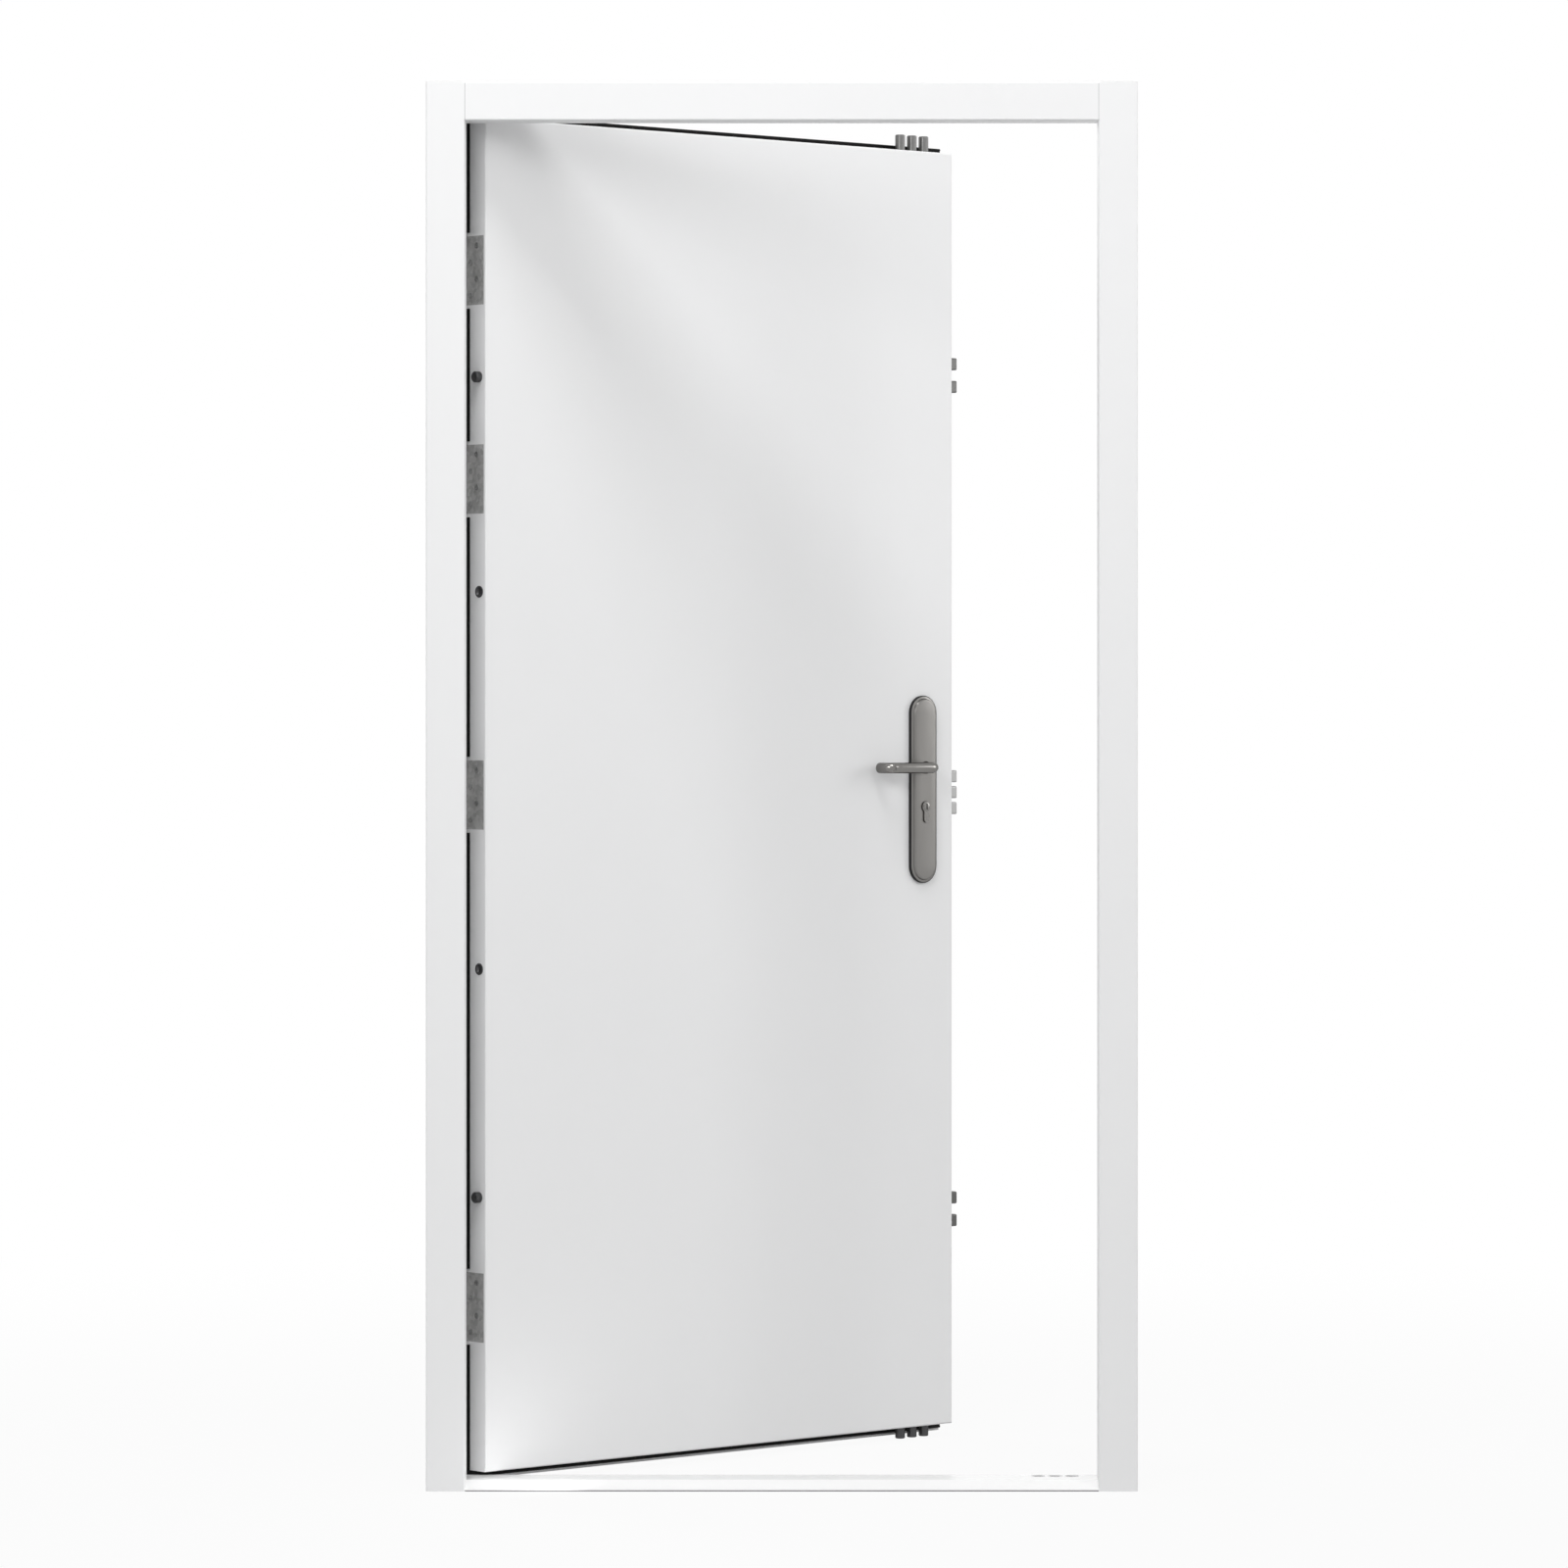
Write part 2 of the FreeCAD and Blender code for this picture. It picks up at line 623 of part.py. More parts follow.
def side_faceplate(heights):
    """A faceplate with a running hole for each side bolt."""
    plate = side_faceplate_blank(heights)
    for height in heights:
        span = (LEAF_WIDTH - 2 * FACEPLATE_THICKNESS, LEAF_WIDTH + FACEPLATE_THICKNESS)
        plate = plate.cut(side_bolt_bar(span, height, RUNNING_CLEARANCE))
    return plate


def end_faceplate_blank(low):
    """The outline of a faceplate let into the top or bottom edge."""
    near = BOLT_DEPTH - FACEPLATE_WIDTH / 2
    plate = leaf_block(
        (END_BOLT_PLACES[0] - FACEPLATE_MARGIN, near, low),
        (END_BOLT_PLACES[-1] + FACEPLATE_MARGIN, near + FACEPLATE_WIDTH, low + FACEPLATE_THICKNESS),
    )
    return corners_rounded(plate, UP)


def end_faceplate(low):
    """A faceplate with a running hole for each top or bottom bolt."""
    plate = end_faceplate_blank(low)
    for across in END_BOLT_PLACES:
        base = leaf_point(across, BOLT_DEPTH, low - 1)
        radius = END_BOLT_RADIUS + RUNNING_CLEARANCE
        plate = plate.cut(cylinder(radius, base, UP, FACEPLATE_THICKNESS + 2))
    return plate


def lock_case(low, high, depth):
    """A folded box behind a faceplate, open towards the faceplate."""
    near = BOLT_DEPTH - FACEPLATE_WIDTH / 2
    back = LEAF_WIDTH - FACEPLATE_THICKNESS - depth
    front = LEAF_WIDTH - FACEPLATE_THICKNESS
    case = leaf_block((back, near, low), (front, near + FACEPLATE_WIDTH, high))
    room = leaf_block(
        (back + CASE_WALL, near + CASE_WALL, low + CASE_WALL),
        (front, near + FACEPLATE_WIDTH - CASE_WALL, high - CASE_WALL),
    )
    return case.cut(room)


def side_case(heights):
    """The case of an upper or lower pair of side bolts."""
    low = min(heights) - FACEPLATE_MARGIN
    high = max(heights) + FACEPLATE_MARGIN
    return lock_case(low, high, CASE_DEPTH)


def centre_case():
    """The main lock's case, pierced by the spindle, the cylinder and the two drive rods."""
    half = CENTRE_CASE_HEIGHT / 2
    case = lock_case(LOCK_HEIGHT - half, LOCK_HEIGHT + half, CENTRE_CASE_DEPTH).cut(through_holes())
    base = leaf_point(LOCK_AXIS - ROD_SETBACK, BOLT_DEPTH, LOCK_HEIGHT - half - 1)
    rod_holes = cylinder(ROD_RADIUS + RUNNING_CLEARANCE, base, UP, CENTRE_CASE_HEIGHT + 2)
    return case.cut(rod_holes)


def side_bolt_bar(span, height, clearance, nose=False):
    """A flat bar on edge with rounded corners, across the leaf, its nose rounded too if asked."""
    half_thickness = SIDE_BOLT_THICKNESS / 2 + clearance
    half_height = SIDE_BOLT_HEIGHT / 2 + clearance
    bar = leaf_block(
        (span[0], BOLT_DEPTH - half_thickness, height - half_height),
        (span[1], BOLT_DEPTH + half_thickness, height + half_height),
    )
    tip = leaf_point(span[1], 0, 0).x
    edges = [
        edge for edge in bar.Edges
        if abs(edge.tangentAt(0).dot(ACROSS)) > 0.99 or (nose and abs(edge.CenterOfMass.x - tip) < 0.01)
    ]
    return bar.makeFillet(SIDE_BOLT_ROUNDING + clearance, edges)


def side_bolts(heights):
    """Flat bolts thrown out of the lock edge, riveted to a carriage inside the case."""
    tail = LEAF_WIDTH - SIDE_BOLT_TAIL
    span = (tail, LEAF_WIDTH + SIDE_BOLT_THROW)
    pieces = [side_bolt_bar(span, height, 0, nose=True) for height in heights]
    half_height = SIDE_BOLT_HEIGHT / 2
    carriage = leaf_block(
        (tail - CARRIAGE_THICKNESS, BOLT_DEPTH - CARRIAGE_WIDTH / 2, min(heights) - half_height),
        (tail, BOLT_DEPTH + CARRIAGE_WIDTH / 2, max(heights) + half_height),
    )
    return fuse_all([carriage] + pieces)


def end_bolts(at_top):
    """Three bolts thrown out of the top or bottom edge, with their carriage and drive rod."""
    way = 1 if at_top else -1
    edge = LEAF_TOP if at_top else LEAF_BOTTOM
    throw = TOP_BOLT_THROW if at_top else BOTTOM_BOLT_THROW
    tail = edge - way * END_BOLT_TAIL
    pieces = []
    for across in END_BOLT_PLACES:
        base = leaf_point(across, BOLT_DEPTH, tail)
        bolt = cylinder(END_BOLT_RADIUS, base, UP * way, END_BOLT_TAIL + throw)
        tip = edge + way * throw
        rim = [line for line in bolt.Edges if abs(line.CenterOfMass.z - tip) < 0.01]
        pieces.append(bolt.makeChamfer(END_BOLT_CHAMFER, rim))
    heights = sorted([tail, tail - way * CARRIAGE_THICKNESS])
    carriage = leaf_block(
        (END_BOLT_PLACES[0] - END_BOLT_RADIUS, BOLT_DEPTH - CARRIAGE_WIDTH / 2, heights[0]),
        (END_BOLT_PLACES[-1] + END_BOLT_RADIUS, BOLT_DEPTH + CARRIAGE_WIDTH / 2, heights[1]),
    )
    rod_end = LOCK_HEIGHT + way * (CENTRE_CASE_HEIGHT / 2 - ROD_ENTRY)
    rod_start = tail - way * CARRIAGE_THICKNESS
    base = leaf_point(LOCK_AXIS - ROD_SETBACK, BOLT_DEPTH, rod_start)
    rod = cylinder(ROD_RADIUS, base, UP * -way, abs(rod_start - rod_end))
    return fuse_all([carriage, rod] + pieces)


# Escutcheons, cylinder and levers

def stadium(width, height, centre_height, depth, thickness):
    """A plate with half-round ends, from a depth outwards."""
    radius = width / 2
    straight = height - width
    bottom = centre_height - straight / 2
    pieces = [
        leaf_block(
            (LOCK_AXIS - radius, depth, bottom), (LOCK_AXIS + radius, depth + thickness, bottom + straight)
        )
    ]
    for end in (bottom, bottom + straight):
        pieces.append(cylinder(radius, leaf_point(LOCK_AXIS, depth, end), OUT, thickness))
    return fuse_all(pieces)


def rim_rounded(shape, face_y, radius):
    """The shape with the edges that lie in one upright plane rounded."""
    box_of = [edge for edge in shape.Edges if abs(edge.BoundBox.YMin - face_y) < 1e-4]
    edges = [edge for edge in box_of if abs(edge.BoundBox.YMax - face_y) < 1e-4]
    return shape.makeFillet(radius, edges)


def escutcheon():
    """The indoor escutcheon: a long plate with round ends and a raised field."""
    middle = LOCK_HEIGHT + ESCUTCHEON_RISE
    base = stadium(ESCUTCHEON_WIDTH, ESCUTCHEON_HEIGHT, middle, -ESCUTCHEON_BASE, ESCUTCHEON_BASE)
    base = rim_rounded(base, leaf_point(0, -ESCUTCHEON_BASE, 0).y, ESCUTCHEON_ROUND)
    inset = 2 * ESCUTCHEON_STEP
    top = -ESCUTCHEON_BASE - ESCUTCHEON_FIELD
    field = stadium(
        ESCUTCHEON_WIDTH - inset, ESCUTCHEON_HEIGHT - inset, middle, top, ESCUTCHEON_FIELD
    )
    field = rim_rounded(field, leaf_point(0, top, 0).y, ESCUTCHEON_ROUND)
    neck_hole = cylinder(
        LEVER_RADIUS + RUNNING_CLEARANCE,
        leaf_point(LOCK_AXIS, top - 1, LEVER_HEIGHT),
        OUT,
        -top + 2,
    )
    return fuse_all([base, field]).cut(neck_hole).cut(cylinder_body(RUNNING_CLEARANCE))


def cylinder_body(clearance):
    """A round drum over a narrower leg, proud of both escutcheons and larger by a clearance."""
    reach = ESCUTCHEON_BASE + ESCUTCHEON_FIELD + CYLINDER_PROUD
    length = LEAF_DEPTH + 2 * reach
    radius = CYLINDER_RADIUS + clearance
    drum = cylinder(radius, leaf_point(LOCK_AXIS, -reach, CYLINDER_CENTRE), OUT, length)
    half_leg = CYLINDER_LEG / 2 + clearance
    toe_height = CYLINDER_CENTRE + CYLINDER_RADIUS - CYLINDER_HEIGHT + CYLINDER_LEG / 2
    leg = leaf_block(
        (LOCK_AXIS - half_leg, -reach, toe_height),
        (LOCK_AXIS + half_leg, -reach + length, CYLINDER_CENTRE),
    )
    toe = cylinder(half_leg, leaf_point(LOCK_AXIS, -reach, toe_height), OUT, length)
    return fuse_all([drum, leg, toe])


def lock_cylinder():
    """The lock cylinder, with a keyway in each end."""
    body = cylinder_body(0)
    reach = ESCUTCHEON_BASE + ESCUTCHEON_FIELD + CYLINDER_PROUD
    for mouth in (-reach, LEAF_DEPTH + reach - KEYWAY_DEPTH):
        keyway = leaf_block(
            (LOCK_AXIS - KEYWAY_WIDTH / 2, mouth, CYLINDER_CENTRE - KEYWAY_HEIGHT / 2),
            (LOCK_AXIS + KEYWAY_WIDTH / 2, mouth + KEYWAY_DEPTH, CYLINDER_CENTRE + KEYWAY_HEIGHT / 2),
        )
        body = body.cut(keyway)
    return body


def spindle():
    """The square bar that joins the two levers through the lock."""
    half = SPINDLE_WIDTH / 2
    return leaf_block(
        (LOCK_AXIS - half, -SPINDLE_SOCKET, LEVER_HEIGHT - half),
        (LOCK_AXIS + half, LEAF_DEPTH + SPINDLE_SOCKET, LEVER_HEIGHT + half),
    )


def lever():
    """The indoor lever: one round bar bent twice, back towards the leaf at its end."""
    bend = LEVER_BEND
    neck = LOCK_AXIS
    end = LOCK_AXIS - LEVER_REACH
    bow = bend * math.sqrt(0.5)
    start = leaf_point(neck, 0, LEVER_HEIGHT)
    neck_top = leaf_point(neck, bend - LEVER_STAND_OFF, LEVER_HEIGHT)
    first_middle = leaf_point(neck - bend + bow, bend - LEVER_STAND_OFF - bow, LEVER_HEIGHT)
    bar_start = leaf_point(neck - bend, -LEVER_STAND_OFF, LEVER_HEIGHT)
    bar_end = leaf_point(end + bend, -LEVER_STAND_OFF, LEVER_HEIGHT)
    second_middle = leaf_point(end + bend - bow, bend - LEVER_STAND_OFF - bow, LEVER_HEIGHT)
    return_start = leaf_point(end, bend - LEVER_STAND_OFF, LEVER_HEIGHT)
    return_end = leaf_point(end, -LEVER_TIP_GAP, LEVER_HEIGHT)
    path = Part.Wire([
        Part.LineSegment(start, neck_top).toShape(),
        Part.Arc(neck_top, first_middle, bar_start).toShape(),
        Part.LineSegment(bar_start, bar_end).toShape(),
        Part.Arc(bar_end, second_middle, return_start).toShape(),
        Part.LineSegment(return_start, return_end).toShape(),
    ])
    ring = Part.Wire([Part.Circle(start, OUT, LEVER_RADIUS).toShape()])
    return path.makePipeShell([ring], True, False).cut(spindle())


def outdoors(shape):
    """The outdoor twin of an indoor piece, mirrored about the middle of the leaf's depth."""
    return shape.mirror(leaf_point(0, LEAF_DEPTH / 2, 0), OUT)


# Assembly

def frame_nodes():
    """Every fixed piece, by name."""
    nodes = {
        "hinge_jamb": hinge_jamb(),
        "lock_jamb": lock_jamb(),
        "head": head(),
        "threshold": threshold(),
        "hinge_jamb_straps": jamb_straps(-1),
        "lock_jamb_straps": jamb_straps(1),
        "hinge_pins": Part.makeCompound([hinge_pin(height) for height in HINGE_HEIGHTS]),
    }
    for number, height in enumerate(HINGE_HEIGHTS, 1):
        nodes["frame_hinge_plate_%d" % number] = frame_hinge_plate(height)
    return nodes


def leaf_nodes():
    """Every piece that swings with the leaf, by name, with the door shut."""
    nodes = {
        "leaf_inner_tray": leaf_inner_tray(),
        "leaf_outer_skin": leaf_outer_skin(),
        "leaf_core": leaf_core(),
        "hinge_side_seal": side_seal(True),
        "lock_side_seal": side_seal(False),
        "top_seal": end_seal(True),
        "bottom_seal": end_seal(False),
        "dog_bolts": Part.makeCompound([dog_bolt(height) for height in DOG_BOLT_HEIGHTS]),
        "edge_plugs": Part.makeCompound([edge_plug(height) for height in PLUG_HEIGHTS]),
        "top_faceplate": end_faceplate(LEAF_TOP - FACEPLATE_THICKNESS),
        "bottom_faceplate": end_faceplate(LEAF_BOTTOM),
        "upper_lock_case": side_case(SIDE_BOLT_GROUPS["upper"]),
        "centre_lock_case": centre_case(),
        "lower_lock_case": side_case(SIDE_BOLT_GROUPS["lower"]),
        "inner_escutcheon": escutcheon(),
        "outer_escutcheon": outdoors(escutcheon()),
        "lock_cylinder": lock_cylinder(),
        "inner_lever": lever(),
        "outer_lever": outdoors(lever()),
        "lever_spindle": spindle(),
        "top_bolts": end_bolts(True),
        "bottom_bolts": end_bolts(False),
    }
    for number, height in enumerate(HINGE_HEIGHTS, 1):
        nodes["leaf_hinge_plate_%d" % number] = leaf_hinge_plate(height)
    for name, heights in SIDE_BOLT_GROUPS.items():
        nodes[name + "_faceplate"] = side_faceplate(heights)
        nodes[name + "_side_bolts"] = side_bolts(heights)
    return nodes


def main():
    """Build every piece, swing the leaf open and write one file for each."""
    os.makedirs("parts", exist_ok=True)
    nodes = frame_nodes()
    for name, shape in leaf_nodes().items():
        nodes[name] = shape.rotate(Vector(PIN_X, PIN_Y, 0), UP, OPEN_ANGLE)
    for name, shape in sorted(nodes.items()):
        shape.exportStep("parts/%s.step" % name)
        print("%-24s %d solids, %.1f cm3" % (name, len(shape.Solids), shape.Volume / 1000))


main()
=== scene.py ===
"""Steel security door set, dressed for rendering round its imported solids.

White powder-coated steel, a black rubber seal, galvanised hinges, steel bolts and satin nickel
handles. Lengths are in metres. The leaf's own measures are across from its hinge edge, depth
from its indoor face and height from the floor.
"""

import json
import math

import bmesh
import bpy
from bpy.props import FloatProperty, FloatVectorProperty, PointerProperty
from mathutils import Matrix, Vector


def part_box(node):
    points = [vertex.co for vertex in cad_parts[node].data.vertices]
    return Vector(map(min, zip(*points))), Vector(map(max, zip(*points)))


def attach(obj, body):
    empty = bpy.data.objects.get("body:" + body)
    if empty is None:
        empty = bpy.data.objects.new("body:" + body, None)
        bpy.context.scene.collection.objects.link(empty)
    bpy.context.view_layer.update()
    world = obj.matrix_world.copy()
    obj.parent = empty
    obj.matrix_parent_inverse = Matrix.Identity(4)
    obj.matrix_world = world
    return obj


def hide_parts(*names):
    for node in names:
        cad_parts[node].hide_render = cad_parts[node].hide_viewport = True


bl_info = {
    "name": "Steel Security Door",
    "version": (1, 0, 0),
    "blender": (4, 5, 0),
    "location": "View3D > Sidebar > Security Door",
    "description": "Finishes and small pieces for a steel security door set, with its studio",
    "category": "Object",
}

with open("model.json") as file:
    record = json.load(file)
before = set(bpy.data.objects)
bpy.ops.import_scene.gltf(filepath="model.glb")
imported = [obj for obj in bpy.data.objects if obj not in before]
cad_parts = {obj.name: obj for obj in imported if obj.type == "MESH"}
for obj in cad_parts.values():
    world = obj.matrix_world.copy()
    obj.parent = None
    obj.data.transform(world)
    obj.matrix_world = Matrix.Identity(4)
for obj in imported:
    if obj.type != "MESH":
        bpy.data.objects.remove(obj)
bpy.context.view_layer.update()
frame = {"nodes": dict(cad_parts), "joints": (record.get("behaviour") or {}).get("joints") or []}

NODES = frame["nodes"]
JOINTS = {joint["name"]: joint for joint in frame["joints"]}

# Nodes that take one finish each
POWDER_COATED = ("hinge_jamb", "lock_jamb", "head", "leaf_inner_tray", "leaf_outer_skin")
ZINC_COATED = (
    "hinge_jamb_straps", "lock_jamb_straps", "upper_lock_case", "centre_lock_case", "lower_lock_case",
)
FACEPLATES = (
    "upper_faceplate", "centre_faceplate", "lower_faceplate", "top_faceplate", "bottom_faceplate",
)

# The hinges, each with a plate on the frame and one on the leaf
HINGE_NUMBERS = (1, 2, 3, 4)

# How many bolts each node holds
SIDE_BOLTS = {"upper_side_bolts": 2, "centre_side_bolts": 3, "lower_side_bolts": 2}
TOP_BOLTS = 3
DOG_BOLTS = 2

# How much of its light the edge of a bare and of a polished metal gives back, against a mirror's
METAL_EDGE = 0.35
POLISHED_EDGE = 0.6

# How finely curves are drawn, and the angle over which an edge stays sharp
ROUND_STEPS = 48
BAR_STEPS = 40
HALF_ROUND_STEPS = 24
BEND_STEPS = 14
BULB_STEPS = 12
CORNER_STEPS = 8
SMOOTH_ANGLE = math.radians(32)

# The ground joints at the head's ends, and the grey bead along the threshold's foot, a painted contact
# shadow
FOLD_RADIUS = 0.0025
SEAM_WIDTH = 0.0008
SEAM_PROUD = 0.00015
SEAM_SUNK = 0.0004
SEAM_GAP = 0.0002
SEAM_TOP_REACH = 0.0150
FOOT_SHADOW_HEIGHT = 0.0016
FOOT_SHADOW_SUNK = 0.0002

# Screws; the depths are from a hinge plate's edge
SCREW_PROUD = 0.0008
SCREW_FLOOR = 0.0001
SCREW_LOBES = 6
HINGE_SCREW_LIFTS = (-0.036, -0.012, 0.012, 0.036)
HINGE_SCREW_DEPTHS = (0.016, 0.030, 0.016, 0.030)
FACEPLATE_SCREW_MARGIN = 0.0080

# Bolts, as the solids have them, how far the head's rebate lies above its lowest edge, and the
# liners of the holes
SIDE_BOLT_HALVES = (0.0070, 0.00925)
SIDE_BOLT_ROUNDING = 0.0020
END_BOLT_RADIUS = 0.0075
DOG_BOLT_RADIUS = 0.0080
STRIKE_CLEARANCE = 0.00275
SIDE_STRIKE_CLEARANCE = 0.00175
DOG_CLEARANCE = 0.0030
REBATE_RISE = 0.0170
LINER_DEPTH = 0.0200
DOG_LINER_DEPTH = 0.0120
LINER_FLANGE = 0.0012
LINER_FLANGE_PROUD = 0.0005
LINER_FIT = 0.0002

# How much further each seal's bulb reaches than its plain strip
SEAL_REACH = {
    "hinge_side_seal": 0.0004, "lock_side_seal": 0.0010, "top_seal": 0.0013, "bottom_seal": 0.0018,
}

# Levers, with the stand-off, reach and bends along the bar's middle
LEVER_RADIUS = 0.0081
LEVER_STAND_OFF = 0.0365
LEVER_BEND = 0.017
LEVER_REACH = 0.098
LEVER_TIP_GAP = 0.010
LEVER_TIP_ROUNDING = 0.0022
LEVER_TIP_STEPS = 6
LEVER_ROOT = 0.0010
NECK_HOLE_RADIUS = 0.0085
COLLAR_INNER_RADIUS = 0.0086
COLLAR_HEIGHT = 0.0016
COLLAR_SUNK = 0.0004

# Lock cylinder: a round drum over a narrower leg, and the gap between it and its hole
DRUM_RADIUS = 0.0085
LEG_RADIUS = 0.0050
CYLINDER_FIT = 0.0003
PLUG_RADIUS = 0.0066
PLUG_PROUD = 0.0006
PLUG_BEVEL = 0.0005
KEYWAY_HALVES = (0.00115, 0.0047)

# How near to an escutcheon's outline the faces of its black backing lie; that black is partly the real
# nylon backing and partly painted shade along the plate's edge
BACKING_SHADE_RIM = 0.0025

# The floor's half width, and how far it lies below the door's foot
FLOOR_HALF = 30.0
FLOOR_DROP = 0.0004

# Each lamp's place, the point that it faces, its width and its height
LAMPS = {
    "steep_lamp": ((0.1, -2.1, 6.0), (-0.1, 0.3, 1.4), 1.6, 1.6),
    "left_lamp": ((-1.7, -4.4, 3.3), (-0.1, 0.3, 1.3), 1.5, 1.5),
    "right_lamp": ((3.4, -3.0, 3.4), (-0.1, 0.3, 1.3), 1.8, 1.8),
    "side_lamp": ((4.2, 1.4, 2.0), (0.0, 0.4, 1.2), 1.8, 1.8),
    "back_lamp": ((-3.8, 4.2, 3.4), (-0.1, 0.3, 1.2), 2.0, 2.0),
    "threshold_bounce": ((-0.33, -0.09, 0.03), (-0.425, 0.05, 0.035), 0.10, 0.03),
}

# Lamps whose mirror image doesn't show in the paint
UNMIRRORED_LAMPS = ("back_lamp",)

# Which way the soft light from all round leans, and by how much
AMBIENT_LEAN = (0.05, -0.90, 0.0)

# The camera
CAMERA_PLACE = (0.00316, -9.243, 1.1524)
CAMERA_SENSOR = 36.0
CAMERA_LENS = 147.35
CAMERA_SHIFT = -0.0619
CAMERA_REACH = 100.0


# Places on the door

def leaf_axes():
    """The leaf's own axes: across from its hinge edge, depth from its indoor face, and height."""
    across = Vector(JOINTS["side_bolt_throw"]["axis"]).normalized()
    up = Vector((0.0, 0.0, 1.0))
    out = up.cross(across)
    corners = [vertex.co for vertex in NODES["leaf_inner_tray"].data.vertices]
    origin = across * min(corner.dot(across) for corner in corners)
    origin += out * min(corner.dot(out) for corner in corners)
    axes = Matrix((across, out, up)).transposed().to_4x4()
    axes.translation = origin
    return axes


LEAF = leaf_axes()
TO_LEAF = LEAF.inverted()
OPEN_ANGLE = math.atan2(LEAF[1][0], LEAF[0][0])


def leaf_extent(node):
    """The lowest and highest corner of a node in the leaf's own measures."""
    points = [TO_LEAF @ vertex.co for vertex in NODES[node].data.vertices]
    low = Vector([min(point[axis] for point in points) for axis in range(3)])
    high = Vector([max(point[axis] for point in points) for axis in range(3)])
    return low, high


def looking_along(place, direction, roll=(0.0, 0.0, 1.0)):
    """A place whose own Z points along a direction and whose own Y leans towards roll."""
    z_axis = Vector(direction).normalized()
    x_axis = Vector(roll).cross(z_axis).normalized()
    y_axis = z_axis.cross(x_axis)
    turned = Matrix((x_axis, y_axis, z_axis)).transposed().to_4x4()
    turned.translation = Vector(place)
    return turned


# Mesh making

def ring(mesh, place, outline, height):
    """A closed loop of vertices from a flat outline, at a height along the place's own Z."""
    return [mesh.verts.new(place @ Vector((x, y, height))) for x, y in outline]


def bridge(mesh, first, second):
    """Quads between two loops of the same length."""
    count = len(first)
    for index in range(count):
        after = (index + 1) % count
        mesh.faces.new((first[index], first[after], second[after], second[index]))


def bridge_rows(mesh, loops):
    """Quads between each loop and the next."""
    for first, second in zip(loops, loops[1:]):
        bridge(mesh, first, second)


def circle(radius, steps=ROUND_STEPS):
    """A round outline."""
    angles = [math.tau * step / steps for step in range(steps)]
    return [(radius * math.cos(angle), radius * math.sin(angle)) for angle in angles]


def stadium(width, height):
    """An upright outline with half-round ends."""
    radius = width / 2
    straight = height / 2 - radius
    outline = []
    for start, lift in ((0.0, straight), (math.pi, -straight)):
        for step in range(HALF_ROUND_STEPS + 1):
            angle = start + math.pi * step / HALF_ROUND_STEPS
            outline.append((radius * math.cos(angle), radius * math.sin(angle) + lift))
    return outline


def spaced(low, high, margin, count):
    """Evenly spaced numbers between two ends, with the same margin at each end."""
    span = high - low - 2 * margin
    return [low + margin + span * step / (count - 1) for step in range(count)]


def lobed(radius, depth):
    """The outline of a six-lobed driver recess."""
    outline = []
    for step in range(ROUND_STEPS):
        angle = math.tau * step / ROUND_STEPS
        reach = radius - depth * (0.5 - 0.5 * math.cos(SCREW_LOBES * angle))
        outline.append((reach * math.cos(angle), reach * math.sin(angle)))
    return outline


def screw_head(mesh, place, radius):
    """A low countersunk head with a lobed recess, standing on the place's own XY plane."""
    top = SCREW_PROUD
    loops = [
        ring(mesh, place, circle(radius), 0.0),
        ring(mesh, place, circle(radius), top * 0.45),
        ring(mesh, place, circle(radius * 0.93), top * 0.85),
        ring(mesh, place, circle(radius * 0.74), top),
        ring(mesh, place, lobed(radius * 0.58, radius * 0.14), top),
        ring(mesh, place, lobed(radius * 0.54, radius * 0.13), top * 0.85),
        ring(mesh, place, lobed(radius * 0.50, radius * 0.12), SCREW_FLOOR),
    ]
    bridge_rows(mesh, loops)
    mesh.faces.new(loops[-1])


def extrude_profile(mesh, profile, start, end, x_axis, y_axis):
    """A straight length of a section; the profile's two axes are given as directions."""
    loops = []
    for centre in (start, end):
        loops.append([mesh.verts.new(centre + x_axis * x + y_axis * y) for x, y in profile])
    bridge(mesh, loops[0], loops[1])
    mesh.faces.new(loops[0])
    mesh.faces.new(list(reversed(loops[1])))


def sweep(mesh, points, radii):
    """A round bar along a flat path of points, with a radius at each point."""
    loops = []
    side = Vector((0.0, 0.0, 1.0))
    for index, point in enumerate(points):
        before = points[max(index - 1, 0)]
        after = points[min(index + 1, len(points) - 1)]
        along = (after - before).normalized()
        across = along.cross(side).normalized()
        loop = []
        for x, y in circle(radii[index], BAR_STEPS):
            loop.append(mesh.verts.new(point + across * x + side * y))
        loops.append(loop)
    bridge_rows(mesh, loops)
    mesh.faces.new(loops[0])
    mesh.faces.new(list(reversed(loops[-1])))


def add_piece(name, mesh, materials, body, place=None, mirror_depth=None):
    """Turn mesh work into a shaded piece that rides on a body and takes a slot's finish."""
    if not mesh.faces:
        raise RuntimeError("%s has no faces" % name)
    if mirror_depth is not None:
        for vertex in mesh.verts:
            vertex.co.y = mirror_depth - vertex.co.y
    bmesh.ops.recalc_face_normals(mesh, faces=mesh.faces)
    data = bpy.data.meshes.new(name)
    mesh.to_mesh(data)
    mesh.free()
    for material in materials:
        data.materials.append(material)
    data.polygons.foreach_set("use_smooth", [True] * len(data.polygons))
    data.set_sharp_from_angle(angle=SMOOTH_ANGLE)
    piece = bpy.data.objects.new(name, data)
    bpy.context.scene.collection.objects.link(piece)
    if place is not None:
        piece.matrix_world = place
    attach(piece, body)
    return piece


def finish_node(node, material):
    """Give a carried-over solid its finish."""
    data = NODES[node].data
    data.materials.clear()
    data.materials.append(material)


# Shader node groups

